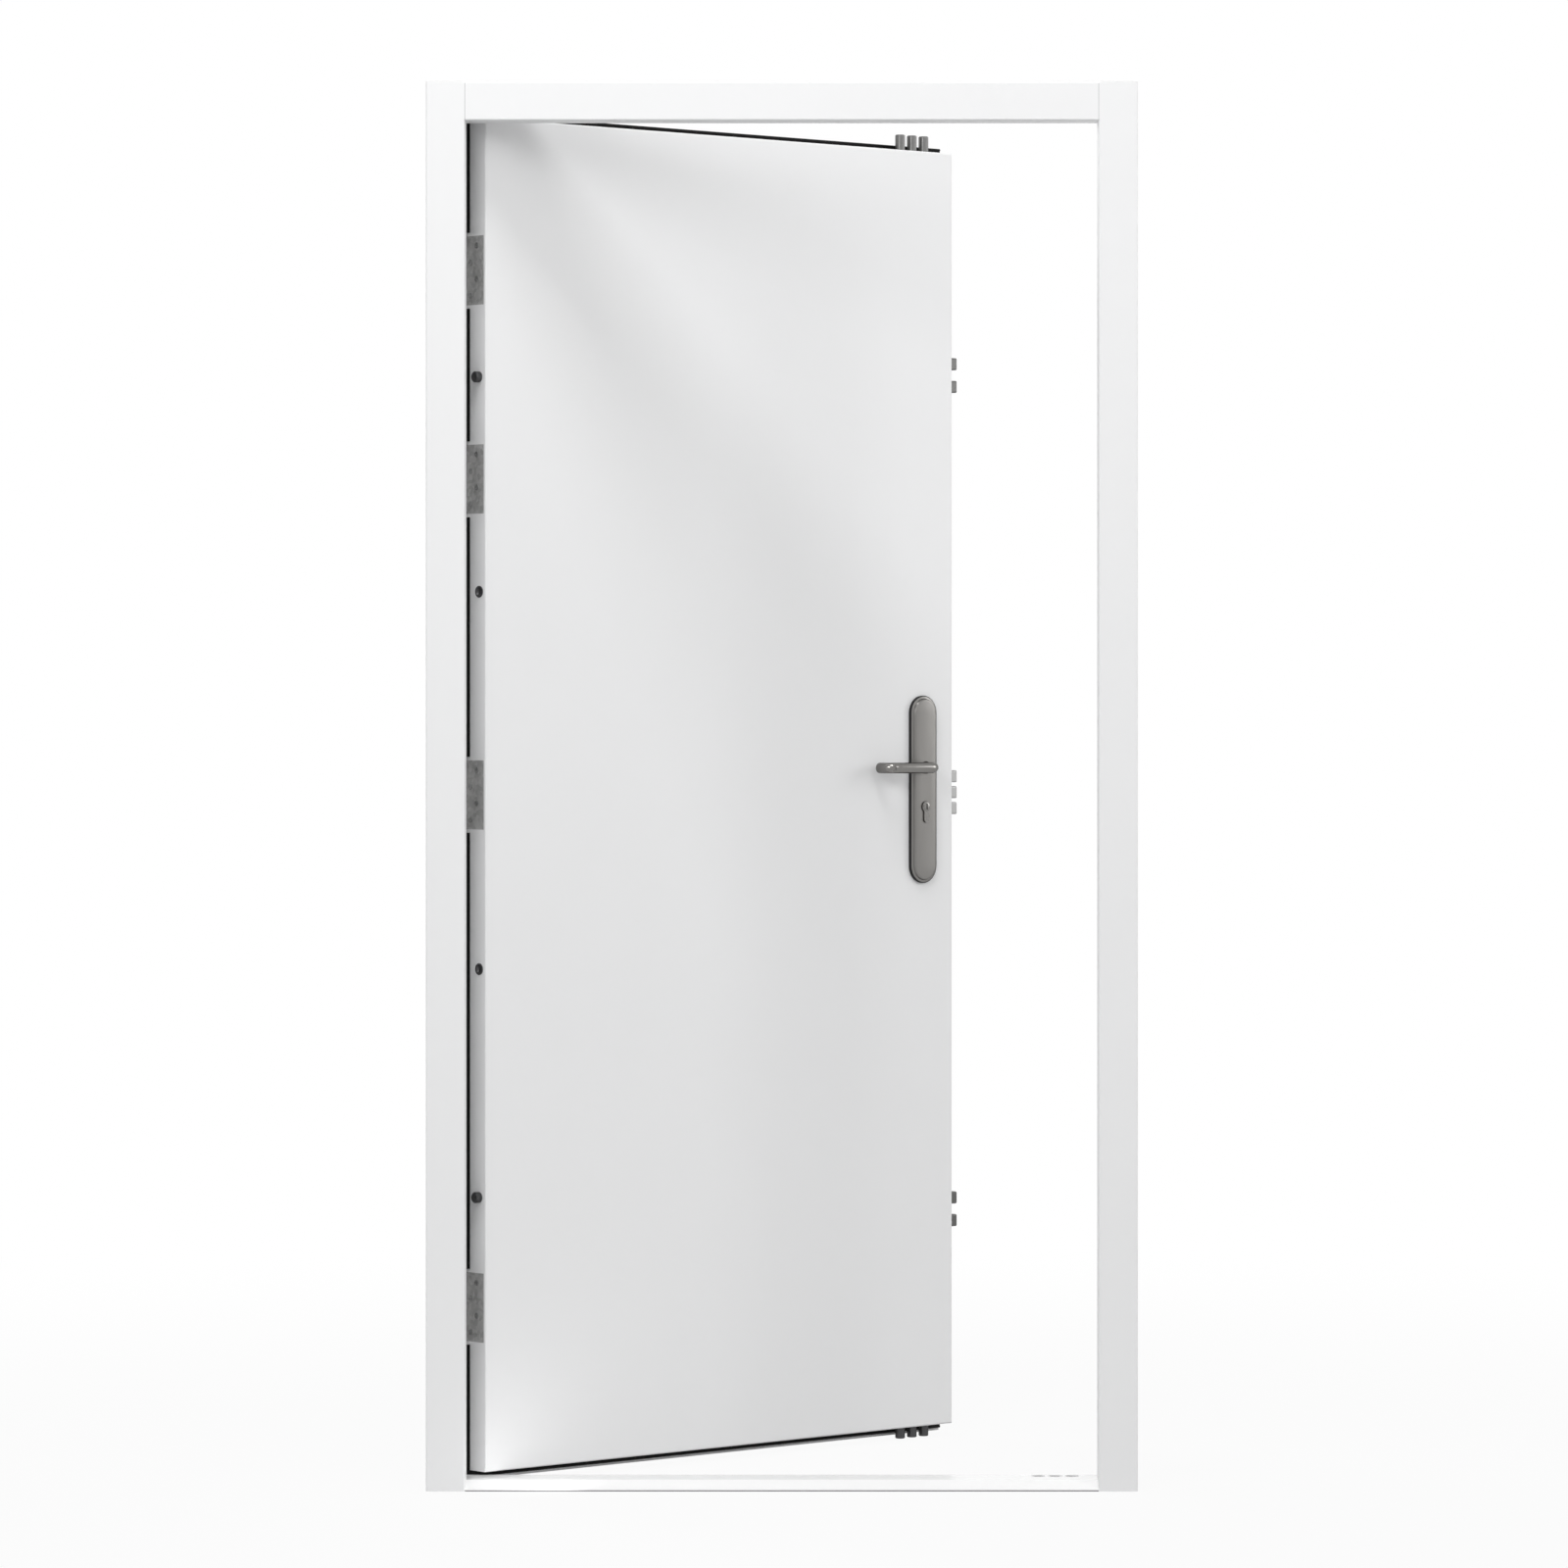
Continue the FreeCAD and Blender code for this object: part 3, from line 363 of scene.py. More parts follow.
def new_group(name, inputs, outputs):
    """An empty shader node group: inputs are (title, kind, value), and every output is a number."""
    group = bpy.data.node_groups.new(name, "ShaderNodeTree")
    for title, kind, value in inputs:
        socket = group.interface.new_socket(title, in_out="INPUT", socket_type=kind)
        socket.default_value = value
    for title in outputs:
        group.interface.new_socket(title, in_out="OUTPUT", socket_type="NodeSocketFloat")
    start = group.nodes.new("NodeGroupInput")
    end = group.nodes.new("NodeGroupOutput")
    return group, start, end


def node_in(tree, kind, inputs=None, **settings):
    """A node with its plain settings and the values of its inputs, by name or by number."""
    node = tree.nodes.new(kind)
    for key, value in settings.items():
        setattr(node, key, value)
    for key, value in (inputs or {}).items():
        node.inputs[key].default_value = value
    return node


def powder_texture_group(name):
    """The fine pebbled skin of powder coat, with a broad unevenness of its gloss."""
    group, start, end = new_group(
        name,
        [("Pebble Frequency", "NodeSocketFloat", 700.0), ("Cloud Frequency", "NodeSocketFloat", 5.0)],
        ("Pebbles", "Clouds"),
    )
    links = group.links
    coordinates = node_in(group, "ShaderNodeTexCoord")
    pebbles = node_in(group, "ShaderNodeTexNoise", {"Detail": 2.0, "Roughness": 0.45})
    clouds = node_in(group, "ShaderNodeTexNoise", {"Detail": 4.0, "Roughness": 0.6})
    for texture, socket in ((pebbles, "Pebble Frequency"), (clouds, "Cloud Frequency")):
        links.new(coordinates.outputs["Object"], texture.inputs["Vector"])
        links.new(start.outputs[socket], texture.inputs["Scale"])
    links.new(pebbles.outputs["Fac"], end.inputs["Pebbles"])
    links.new(clouds.outputs["Fac"], end.inputs["Clouds"])
    return group


def drawn_grain_group(name):
    """Fine streaks left by brushing, drawing or turning; a high frequency runs across the streaks."""
    group, start, end = new_group(
        name,
        [
            ("Frequency", "NodeSocketVector", (40.0, 40.0, 2500.0)),
            ("Turn", "NodeSocketVector", (0.0, 0.0, 0.0)),
        ],
        ("Streaks", "Clouds"),
    )
    links = group.links
    coordinates = node_in(group, "ShaderNodeTexCoord")
    turned = node_in(group, "ShaderNodeVectorRotate", rotation_type="EULER_XYZ")
    stretched = node_in(group, "ShaderNodeVectorMath", operation="MULTIPLY")
    streaks = node_in(group, "ShaderNodeTexNoise", {"Scale": 1.0, "Detail": 3.0})
    clouds = node_in(group, "ShaderNodeTexNoise", {"Scale": 60.0, "Detail": 3.0})
    links.new(coordinates.outputs["Object"], turned.inputs["Vector"])
    links.new(start.outputs["Turn"], turned.inputs["Rotation"])
    links.new(turned.outputs["Vector"], stretched.inputs[0])
    links.new(start.outputs["Frequency"], stretched.inputs[1])
    links.new(stretched.outputs["Vector"], streaks.inputs["Vector"])
    links.new(coordinates.outputs["Object"], clouds.inputs["Vector"])
    links.new(streaks.outputs["Fac"], end.inputs["Streaks"])
    links.new(clouds.outputs["Fac"], end.inputs["Clouds"])
    return group


def zinc_spangle_group(name):
    """The grey crystal flakes of a zinc coat, each a little lighter or darker."""
    group, start, end = new_group(
        name,
        [("Flake Frequency", "NodeSocketFloat", 160.0), ("Stain Frequency", "NodeSocketFloat", 25.0)],
        ("Flakes", "Stains", "Relief"),
    )
    links = group.links
    coordinates = node_in(group, "ShaderNodeTexCoord")
    warp = node_in(group, "ShaderNodeTexNoise", {"Scale": 90.0, "Detail": 3.0})
    shift = node_in(group, "ShaderNodeVectorMath", {"Scale": 0.006}, operation="SCALE")
    moved = node_in(group, "ShaderNodeVectorMath", operation="ADD")
    flakes = node_in(group, "ShaderNodeTexVoronoi")
    split = node_in(group, "ShaderNodeSeparateColor")
    stains = node_in(group, "ShaderNodeTexNoise", {"Detail": 5.0, "Roughness": 0.65})
    links.new(coordinates.outputs["Object"], warp.inputs["Vector"])
    links.new(warp.outputs["Color"], shift.inputs[0])
    links.new(coordinates.outputs["Object"], moved.inputs[0])
    links.new(shift.outputs["Vector"], moved.inputs[1])
    links.new(moved.outputs["Vector"], flakes.inputs["Vector"])
    links.new(start.outputs["Flake Frequency"], flakes.inputs["Scale"])
    links.new(flakes.outputs["Color"], split.inputs["Color"])
    links.new(coordinates.outputs["Object"], stains.inputs["Vector"])
    links.new(start.outputs["Stain Frequency"], stains.inputs["Scale"])
    links.new(split.outputs["Red"], end.inputs["Flakes"])
    links.new(stains.outputs["Fac"], end.inputs["Stains"])
    links.new(flakes.outputs["Distance"], end.inputs["Relief"])
    return group


SHARED_GROUPS = {
    "Powder Texture": powder_texture_group,
    "Drawn Grain": drawn_grain_group,
    "Zinc Spangle": zinc_spangle_group,
}


# Materials

def new_material(name, roughness, metallic=0.0, colour=None, edge_tint=1.0):
    """A material with a Principled shader whose constant numbers sit on its own sockets."""
    material = bpy.data.materials.new(name)
    material.use_nodes = True
    shader = material.node_tree.nodes["Principled BSDF"]
    shader.inputs["Roughness"].default_value = roughness
    shader.inputs["Metallic"].default_value = metallic
    shader.inputs["Specular Tint"].default_value = (edge_tint, edge_tint, edge_tint, 1.0)
    if colour is not None:
        shader.inputs["Base Color"].default_value = (*colour, 1.0)
    return material, shader


def add_group(material, name, values):
    """Place a shared node group in a material with its own values, and build it at its first use."""
    group = bpy.data.node_groups.get(name) or SHARED_GROUPS[name](name)
    return node_in(material.node_tree, "ShaderNodeGroup", values, node_tree=group)


def varied_colour(material, shader, factor, colour, spread):
    """Vary the base colour by a mask, between darker and lighter than the plain colour."""
    tree = material.node_tree
    darker = (*[channel * (1.0 - spread) for channel in colour], 1.0)
    lighter = (*[min(channel * (1.0 + spread), 1.0) for channel in colour], 1.0)
    mixed = node_in(tree, "ShaderNodeMix", {6: darker, 7: lighter}, data_type="RGBA")
    tree.links.new(factor, mixed.inputs[0])
    tree.links.new(mixed.outputs[2], shader.inputs["Base Color"])


def varied_roughness(material, shader, factor, roughness):
    """Vary the roughness by a mask, between a low and a high value."""
    tree = material.node_tree
    ends = {"From Min": 0.3, "From Max": 0.7, "To Min": roughness[0], "To Max": roughness[1]}
    spread = node_in(tree, "ShaderNodeMapRange", ends)
    tree.links.new(factor, spread.inputs["Value"])
    tree.links.new(spread.outputs["Result"], shader.inputs["Roughness"])


def bumped(material, shader, height, distance):
    """Raise the surface by a mask."""
    tree = material.node_tree
    bump = node_in(tree, "ShaderNodeBump", {"Strength": 1.0, "Distance": distance})
    tree.links.new(height, bump.inputs["Height"])
    tree.links.new(bump.outputs["Normal"], shader.inputs["Normal"])


def powder_coat(name, colour, lacquer=0.0):
    """White polyester powder coat: satin, finely pebbled, a little uneven in its gloss."""
    material, shader = new_material(name, 0.42)
    shader.inputs["Coat Weight"].default_value = lacquer
    shader.inputs["Coat Roughness"].default_value = 0.16
    skin = add_group(material, "Powder Texture", {"Pebble Frequency": 650.0, "Cloud Frequency": 4.0})
    varied_colour(material, shader, skin.outputs["Clouds"], colour, 0.012)
    varied_roughness(material, shader, skin.outputs["Clouds"], (0.38, 0.48))
    bumped(material, shader, skin.outputs["Pebbles"], 0.00003)
    return material


def galvanised(name, colour, flake_frequency, roughness, metallic=0.85):
    """Zinc-coated steel with dull flakes and faint stains."""
    material, shader = new_material(name, roughness[0], metallic)
    coat = add_group(material, "Zinc Spangle", {"Flake Frequency": flake_frequency})
    tree = material.node_tree
    blend = node_in(tree, "ShaderNodeMath", {1: 0.45}, operation="MULTIPLY_ADD")
    half = node_in(tree, "ShaderNodeMath", {1: 0.55}, operation="MULTIPLY")
    tree.links.new(coat.outputs["Stains"], half.inputs[0])
    tree.links.new(coat.outputs["Flakes"], blend.inputs[0])
    tree.links.new(half.outputs["Value"], blend.inputs[2])
    varied_colour(material, shader, blend.outputs["Value"], colour, 0.35)
    varied_roughness(material, shader, coat.outputs["Stains"], roughness)
    bumped(material, shader, coat.outputs["Relief"], 0.00005)
    return material


def drawn_metal(name, colour, frequency, turn, roughness, metallic=1.0, edge_tint=METAL_EDGE):
    """Brushed, drawn or turned metal with streaks in one direction."""
    material, shader = new_material(name, roughness[0], metallic, edge_tint=edge_tint)
    grain = add_group(material, "Drawn Grain", {"Frequency": frequency, "Turn": (0.0, 0.0, turn)})
    varied_colour(material, shader, grain.outputs["Streaks"], colour, 0.08)
    varied_roughness(material, shader, grain.outputs["Clouds"], roughness)
    bumped(material, shader, grain.outputs["Streaks"], 0.00001)
    return material


def moulded(name, colour, pebble_frequency, roughness, distance, shine=0.5):
    """Black rubber or nylon with the fine skin of its mould."""
    material, shader = new_material(name, roughness[0])
    shader.inputs["Specular IOR Level"].default_value = shine
    values = {"Pebble Frequency": pebble_frequency, "Cloud Frequency": 18.0}
    skin = add_group(material, "Powder Texture", values)
    varied_colour(material, shader, skin.outputs["Clouds"], colour, 0.25)
    varied_roughness(material, shader, skin.outputs["Clouds"], roughness)
    bumped(material, shader, skin.outputs["Pebbles"], distance)
    return material


def plain_filler(name, colour):
    """The slightly darker line of a ground and painted joint, and the grey bead of painted contact
    shadow at the threshold's foot.
    """
    material, shader = new_material(name, 0.6)
    skin = add_group(material, "Powder Texture", {"Pebble Frequency": 500.0, "Cloud Frequency": 30.0})
    varied_colour(material, shader, skin.outputs["Clouds"], colour, 0.05)
    return material


# Settings

class DOOR_PG_colours(bpy.types.PropertyGroup):
    """Colours of the door's finishes."""

    powder: FloatVectorProperty(
        name="Powder coat", description="Colour of the frame and the leaf",
        default=(0.86, 0.862, 0.866), subtype="COLOR", min=0.0, max=1.0,
    )
    # The threshold's white is lighter than the frame's same powder coat: painted light on its top from
    # above.
    threshold: FloatVectorProperty(
        name="Threshold paint", description="Colour of the threshold, a shade lighter than the frame",
        default=(0.91, 0.91, 0.91), subtype="COLOR", min=0.0, max=1.0,
    )
    joint: FloatVectorProperty(
        name="Joint line", description="Colour of the ground joints at the head's two ends",
        default=(0.50, 0.50, 0.505), subtype="COLOR", min=0.0, max=1.0,
    )
    # Painted shadow: the bead's grey stands in for the contact shadow at the threshold's foot.
    foot_shadow_bead: FloatVectorProperty(
        name="Sealant", description="Colour of the bead along the threshold's foot",
        default=(0.16, 0.16, 0.16), subtype="COLOR", min=0.0, max=1.0,
    )
    hinge_zinc: FloatVectorProperty(
        name="Hinge zinc", description="Colour of the galvanised hinges",
        default=(0.46, 0.46, 0.455), subtype="COLOR", min=0.0, max=1.0,
    )
    plate_zinc: FloatVectorProperty(
        name="Plate zinc", description="Colour of the faceplates, lock cases and straps",
        default=(0.34, 0.34, 0.34), subtype="COLOR", min=0.0, max=1.0,
    )
    pin_steel: FloatVectorProperty(
        name="Pin steel", description="Colour of the hinge pins",
        default=(0.235, 0.233, 0.23), subtype="COLOR", min=0.0, max=1.0,
    )
    top_steel: FloatVectorProperty(
        name="Top steel", description="Colour of the top bolts",
        default=(0.170, 0.169, 0.167), subtype="COLOR", min=0.0, max=1.0,
    )
    bright_steel: FloatVectorProperty(
        name="Bright steel", description="Colour of the centre bolts and the lever spindle",
        default=(0.35, 0.35, 0.348), subtype="COLOR", min=0.0, max=1.0,
    )
    grey_steel: FloatVectorProperty(
        name="Grey steel", description="Colour of the upper and lower side bolts",
        default=(0.126, 0.125, 0.123), subtype="COLOR", min=0.0, max=1.0,
    )
    # The bottom bolts' darkness is painted shade; the dog bolts and edge plugs have this dark as their
    # own colour.
    dark_steel: FloatVectorProperty(
        name="Dark steel", description="Colour of the bottom bolts, dog bolts and edge plugs",
        default=(0.075, 0.075, 0.077), subtype="COLOR", min=0.0, max=1.0,
    )
    nickel: FloatVectorProperty(
        name="Satin nickel", description="Colour of the escutcheons, levers and cylinder",
        default=(0.210, 0.204, 0.196), subtype="COLOR", min=0.0, max=1.0,
    )
    rubber: FloatVectorProperty(
        name="Rubber", description="Colour of the seal round the leaf",
        default=(0.005, 0.005, 0.005), subtype="COLOR", min=0.0, max=1.0,
    )
    # The escutcheons' black backing is partly painted shade along their edges; the liners' black is
    # their own colour.
    nylon: FloatVectorProperty(
        name="Nylon", description="Colour of the bolt hole liners and the escutcheons' backing plates",
        default=(0.022, 0.022, 0.023), subtype="COLOR", min=0.0, max=1.0,
    )
    core: FloatVectorProperty(
        name="Core", description="Colour of the insulating core",
        default=(0.42, 0.38, 0.27), subtype="COLOR", min=0.0, max=1.0,
    )


class DOOR_PG_sizes(bpy.types.PropertyGroup):
    """Sizes of the small pieces that dress the door."""

    hinge_screw: FloatProperty(
        name="Hinge screw radius", description="Radius of the screw heads in the hinge plates",
        default=0.0045, min=0.002, max=0.008, unit="LENGTH",
    )
    plate_screw: FloatProperty(
        name="Faceplate screw radius", description="Radius of the screw heads in the faceplates",
        default=0.0038, min=0.002, max=0.006, unit="LENGTH",
    )
    # The backing's thickness sets how wide its black band shows, partly painted shade at the
    # escutcheon's edge.
    backing: FloatProperty(
        name="Backing thickness", description="Thickness of the black plate behind each escutcheon",
        default=0.0051, min=0.001, max=0.0052, unit="LENGTH",
    )
    collar: FloatProperty(
        name="Collar width", description="Width of the bearing ring round each lever's neck",
        default=0.0011, min=0.0005, max=0.005, unit="LENGTH",
    )


class DOOR_PG_stage(bpy.types.PropertyGroup):
    """The studio round the door."""

    ambient: FloatProperty(
        name="Ambient", description="Strength of the soft light from all round",
        default=0.42, min=0.0, max=2.0,
    )
    steep_lamp: FloatProperty(
        name="Steep lamp", description="Power of the high lamp in front of the door",
        default=110.0, min=0.0, subtype="POWER", unit="POWER",
    )
    left_lamp: FloatProperty(
        name="Left lamp", description="Power of the lower lamp in front on the hinge side",
        default=59.5, min=0.0, subtype="POWER", unit="POWER",
    )
    right_lamp: FloatProperty(
        name="Right lamp", description="Power of the lower lamp in front on the lock side",
        default=26.0, min=0.0, subtype="POWER", unit="POWER",
    )
    side_lamp: FloatProperty(
        name="Side lamp", description="Power of the lamp on the lock side",
        default=34.0, min=0.0, subtype="POWER", unit="POWER",
    )
    back_lamp: FloatProperty(
        name="Back lamp", description="Power of the lamp behind the door",
        default=195.0, min=0.0, subtype="POWER", unit="POWER",
    )
    threshold_bounce: FloatProperty(
        name="Threshold bounce", description="Power of the glow on the leaf's foot by the threshold",
        default=0.031, min=0.0, subtype="POWER", unit="POWER",
    )
    floor: FloatVectorProperty(
        name="Floor", description="Colour of the studio floor",
        default=(0.40, 0.40, 0.40), subtype="COLOR", min=0.0, max=1.0,
    )


# Pieces

class DOOR_OT_frame(bpy.types.Operator):
    """Coat the frame, draw the ground joints at the head's two ends and lay the grey bead of painted
    contact shadow along the threshold's foot
    """

    bl_idname = "door.dress_frame"
    bl_label = "Dress Frame"

    def execute(self, context):
        colours = context.scene.door_colours
        powder = powder_coat("white_powder_coat_paint", colours.powder)
        for node in POWDER_COATED:
            finish_node(node, powder)
        # The threshold takes a lighter copy of the frame's white, which is painted light from above; its
        # clear coat gives it gloss.
        finish_node("threshold", powder_coat("threshold_gloss_paint", colours.threshold, 1.0))
        zinc = galvanised("zinc_sheet", colours.plate_zinc, 130.0, (0.42, 0.55))
        for node in ZINC_COATED:
            finish_node(node, zinc)
        filler = plain_filler("ground_joint_line", colours.joint)
        jamb_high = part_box("hinge_jamb")[1]
        head_low, head_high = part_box("head")
        mesh = bmesh.new()
        half = SEAM_WIDTH / 2
        shoulder = SEAM_PROUD * 0.4
        section = [(-half, -SEAM_SUNK), (half, -SEAM_SUNK)]
        section += [(half, shoulder), (0.0, SEAM_PROUD), (-half, shoulder)]
        for side in (-1, 1):
            across = side * abs(jamb_high.x)
            bottom = Vector((across, head_low.y, head_low.z + SEAM_GAP))
            top = Vector((across, head_low.y, head_high.z - FOLD_RADIUS))
            extrude_profile(mesh, section, bottom, top, Vector((1, 0, 0)), Vector((0, -1, 0)))
            near = Vector((across, head_low.y + FOLD_RADIUS, head_high.z - SEAM_PROUD))
            far = Vector((across, head_low.y + SEAM_TOP_REACH, head_high.z - SEAM_PROUD))
            extrude_profile(mesh, section, near, far, Vector((1, 0, 0)), Vector((0, 0, 1)))
        add_piece("head_joint_lines", mesh, [filler], "frame")
        # A grey bead along the threshold's front foot: painted contact shadow, drawn as a sealant line.
        foot_shadow_bead = plain_filler("grey_sealant", colours.foot_shadow_bead)
        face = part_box("threshold")[0].y
        mesh = bmesh.new()
        section = [(0.0, -FOOT_SHADOW_SUNK), (FOOT_SHADOW_HEIGHT, -FOOT_SHADOW_SUNK)]
        section += [(FOOT_SHADOW_HEIGHT * 0.8, SEAM_PROUD), (0.0, SEAM_PROUD)]
        start = Vector((jamb_high.x, face, 0.0))
        end = Vector((-jamb_high.x, face, 0.0))
        extrude_profile(mesh, section, start, end, Vector((0, 0, 1)), Vector((0, -1, 0)))
        add_piece("threshold_sealant", mesh, [foot_shadow_bead], "frame")
        return {"FINISHED"}


class DOOR_OT_seals(bpy.types.Operator):
    """Replace the seal's plain strips by a rubber section with a bulb"""

    bl_idname = "door.dress_seals"
    bl_label = "Dress Seals"

    def execute(self, context):
        colour = context.scene.door_colours.rubber
        rubber = moulded("seal_rubber", colour, 1800.0, (0.55, 0.68), 0.00002, 0.12)
        for node, free, along in (
            ("hinge_side_seal", Vector((-1, 0, 0)), 2),
            ("lock_side_seal", Vector((1, 0, 0)), 2),
            ("top_seal", Vector((0, 0, 1)), 0),
            ("bottom_seal", Vector((0, 0, -1)), 0),
        ):
            low, high = leaf_extent(node)
            axis = 0 if along == 2 else 2
            width = high[axis] - low[axis] + SEAL_REACH[node]
            thickness = high.y - low.y
            root = low[axis] if free[axis] > 0 else high[axis]
            section = seal_section(width, thickness)
            mesh = bmesh.new()
            for start, end in seal_runs(node, along, low, high):
                ends = []
                for place in (start, end):
                    corner = Vector((0.0, high.y, 0.0))
                    corner[axis] = root
                    corner[along] = place
                    ends.append(corner)
                extrude_profile(mesh, section, ends[0], ends[1], free, Vector((0, -1, 0)))
            piece = add_piece(node + "_bulb", mesh, [rubber], "leaf", LEAF)
            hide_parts(node)
        return {"FINISHED"}


def seal_section(width, thickness):
    """A flat root, a shallow groove and a round bulb; (away from the leaf, towards indoors)."""
    bulb = thickness / 2
    centre = width - bulb
    points = [(0.0, 0.0), (0.0, thickness * 0.94)]
    points += [(width * 0.16, thickness * 0.96), (width * 0.24, thickness * 0.70)]
    neck = math.radians(152)
    foot = math.radians(-35)
    for step in range(BULB_STEPS + 1):
        angle = neck - (neck - foot) * step / BULB_STEPS
        points.append((centre + bulb * math.cos(angle), bulb + bulb * math.sin(angle)))
    points.append((width - bulb * 0.35, 0.0))
    return points


def seal_runs(node, along, low, high):
    """The stretches of a seal, split at the hinges on the hinge side."""
    if node != "hinge_side_seal":
        return [(low[along], high[along])]
    heights = sorted({round((TO_LEAF @ vertex.co).z, 4) for vertex in NODES[node].data.vertices})
    return [(heights[index], heights[index + 1]) for index in range(0, len(heights) - 1, 2)]


class DOOR_OT_hinges(bpy.types.Operator):
    """Galvanise the hinges and add their screws"""

    bl_idname = "door.dress_hinges"
    bl_label = "Dress Hinges"

    def execute(self, context):
        colours = context.scene.door_colours
        radius = context.scene.door_sizes.hinge_screw
        zinc = galvanised("hinge_zinc", colours.hinge_zinc, 190.0, (0.36, 0.50), 0.40)
        steel = drawn_metal("pin_steel", colours.pin_steel, (300.0, 300.0, 300.0), 0.0, (0.30, 0.40))
        screw_steel = galvanised("screw_zinc", colours.plate_zinc, 420.0, (0.30, 0.42))
        finish_node("hinge_pins", steel)
        reveal = -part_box("threshold")[1].x
        for number in HINGE_NUMBERS:
            node = "frame_hinge_plate_%d" % number
            finish_node(node, zinc)
            low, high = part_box(node)
            middle = (low.z + high.z) / 2
            mesh = hinge_screws(reveal, (1, 0, 0), low.y, middle, HINGE_SCREW_DEPTHS, radius)
            add_piece(node + "_screws", mesh, [screw_steel], "frame")
            node = "leaf_hinge_plate_%d" % number
            finish_node(node, zinc)
            edge = leaf_extent(node)[0].y
            mesh = hinge_screws(0.0, (-1, 0, 0), edge, middle, reversed(HINGE_SCREW_DEPTHS), radius)
            add_piece(node + "_screws", mesh, [screw_steel], "leaf", LEAF)
        return {"FINISHED"}


def hinge_screws(face, direction, edge, middle, depths, radius):
    """The screw heads down a hinge plate, at their depths from its edge."""
    mesh = bmesh.new()
    for lift, depth in zip(HINGE_SCREW_LIFTS, depths):
        screw_head(mesh, looking_along((face, edge + depth, middle + lift), direction), radius)
    return mesh


class DOOR_OT_locks(bpy.types.Operator):
    """Finish the bolts, faceplates, dog bolts and plugs, and line the bolt holes in the frame"""

    bl_idname = "door.dress_locks"
    bl_label = "Dress Locks"

    def execute(self, context):
        colours = context.scene.door_colours
        radius = context.scene.door_sizes.plate_screw
        across_grain = (1800.0, 60.0, 60.0)
        along_grain = (60.0, 60.0, 1800.0)
        drawn = (0.26, 0.38)
        turned = (0.30, 0.42)
        turn = -OPEN_ANGLE
        bright = drawn_metal("centre_bolt_steel", colours.bright_steel, across_grain, turn, drawn)
        grey = drawn_metal("side_bolt_steel", colours.grey_steel, across_grain, turn, drawn)
        top_steel = drawn_metal("top_bolt_steel", colours.top_steel, along_grain, 0.0, turned, 0.9)
        # The bottom bolts take a darker copy of the end bolts' steel, which is painted shade; the top
        # bolts keep the lighter copy.
        bottom_bolt_shade_steel = drawn_metal("bottom_bolt_steel", colours.dark_steel, along_grain, 0.0, turned, 0.9)
        plate_grain = (1200.0, 1200.0, 30.0)
        plate = drawn_metal("faceplate_zinc", colours.plate_zinc, plate_grain, 0.0, (0.36, 0.48), 0.9)
        dark = galvanised("blackened_steel", colours.dark_steel, 500.0, (0.34, 0.48), 0.8)
        screw_steel = galvanised("plate_screw_zinc", colours.plate_zinc, 420.0, (0.30, 0.42))
        core = moulded("mineral_wool", colours.core, 900.0, (0.85, 0.95), 0.0003)
        for node in ("upper_side_bolts", "lower_side_bolts"):
            finish_node(node, grey)
        for node in ("centre_side_bolts", "lever_spindle"):
            finish_node(node, bright)
        finish_node("top_bolts", top_steel)
        finish_node("bottom_bolts", bottom_bolt_shade_steel)
        for node in ("dog_bolts", "edge_plugs"):
            finish_node(node, dark)
        finish_node("leaf_core", core)
        for node in FACEPLATES:
            finish_node(node, plate)
            mesh = bmesh.new()
            for place in faceplate_screw_places(node):
                screw_head(mesh, place, radius)
            add_piece(node + "_screws", mesh, [screw_steel], "leaf", LEAF)
        nylon = moulded("liner_nylon", colours.nylon, 1200.0, (0.40, 0.52), 0.00002)
        for name, places in hole_places().items():
            mesh = bmesh.new()
            for place, outline, depth in places:
                hole_liner(mesh, place, outline, depth)
            add_piece(name, mesh, [nylon], "frame")
        return {"FINISHED"}


def faceplate_screw_places(node):
    """Two places near the ends of a faceplate, on its shown face."""
    low, high = leaf_extent(node)
    middle = (low.y + high.y) / 2
    ends = {"top_faceplate": (high.z, (0, 0, 1)), "bottom_faceplate": (low.z, (0, 0, -1))}
    if node in ends:
        face, direction = ends[node]
        places = [(across, middle, face) for across in spaced(low.x, high.x, FACEPLATE_SCREW_MARGIN, 2)]
        return [looking_along(place, direction, (1, 0, 0)) for place in places]
    places = [(high.x, middle, height) for height in spaced(low.z, high.z, FACEPLATE_SCREW_MARGIN, 2)]
    return [looking_along(place, (1, 0, 0)) for place in places]


def shut(point):
    """Where a point given in the leaf's own measures is with the door shut, in the room."""
    hinge = Vector(JOINTS["leaf_swing"]["pos_m"])
    turned = Matrix.Rotation(-OPEN_ANGLE, 4, "Z")
    return hinge + turned @ (LEAF @ Vector(point) - hinge)


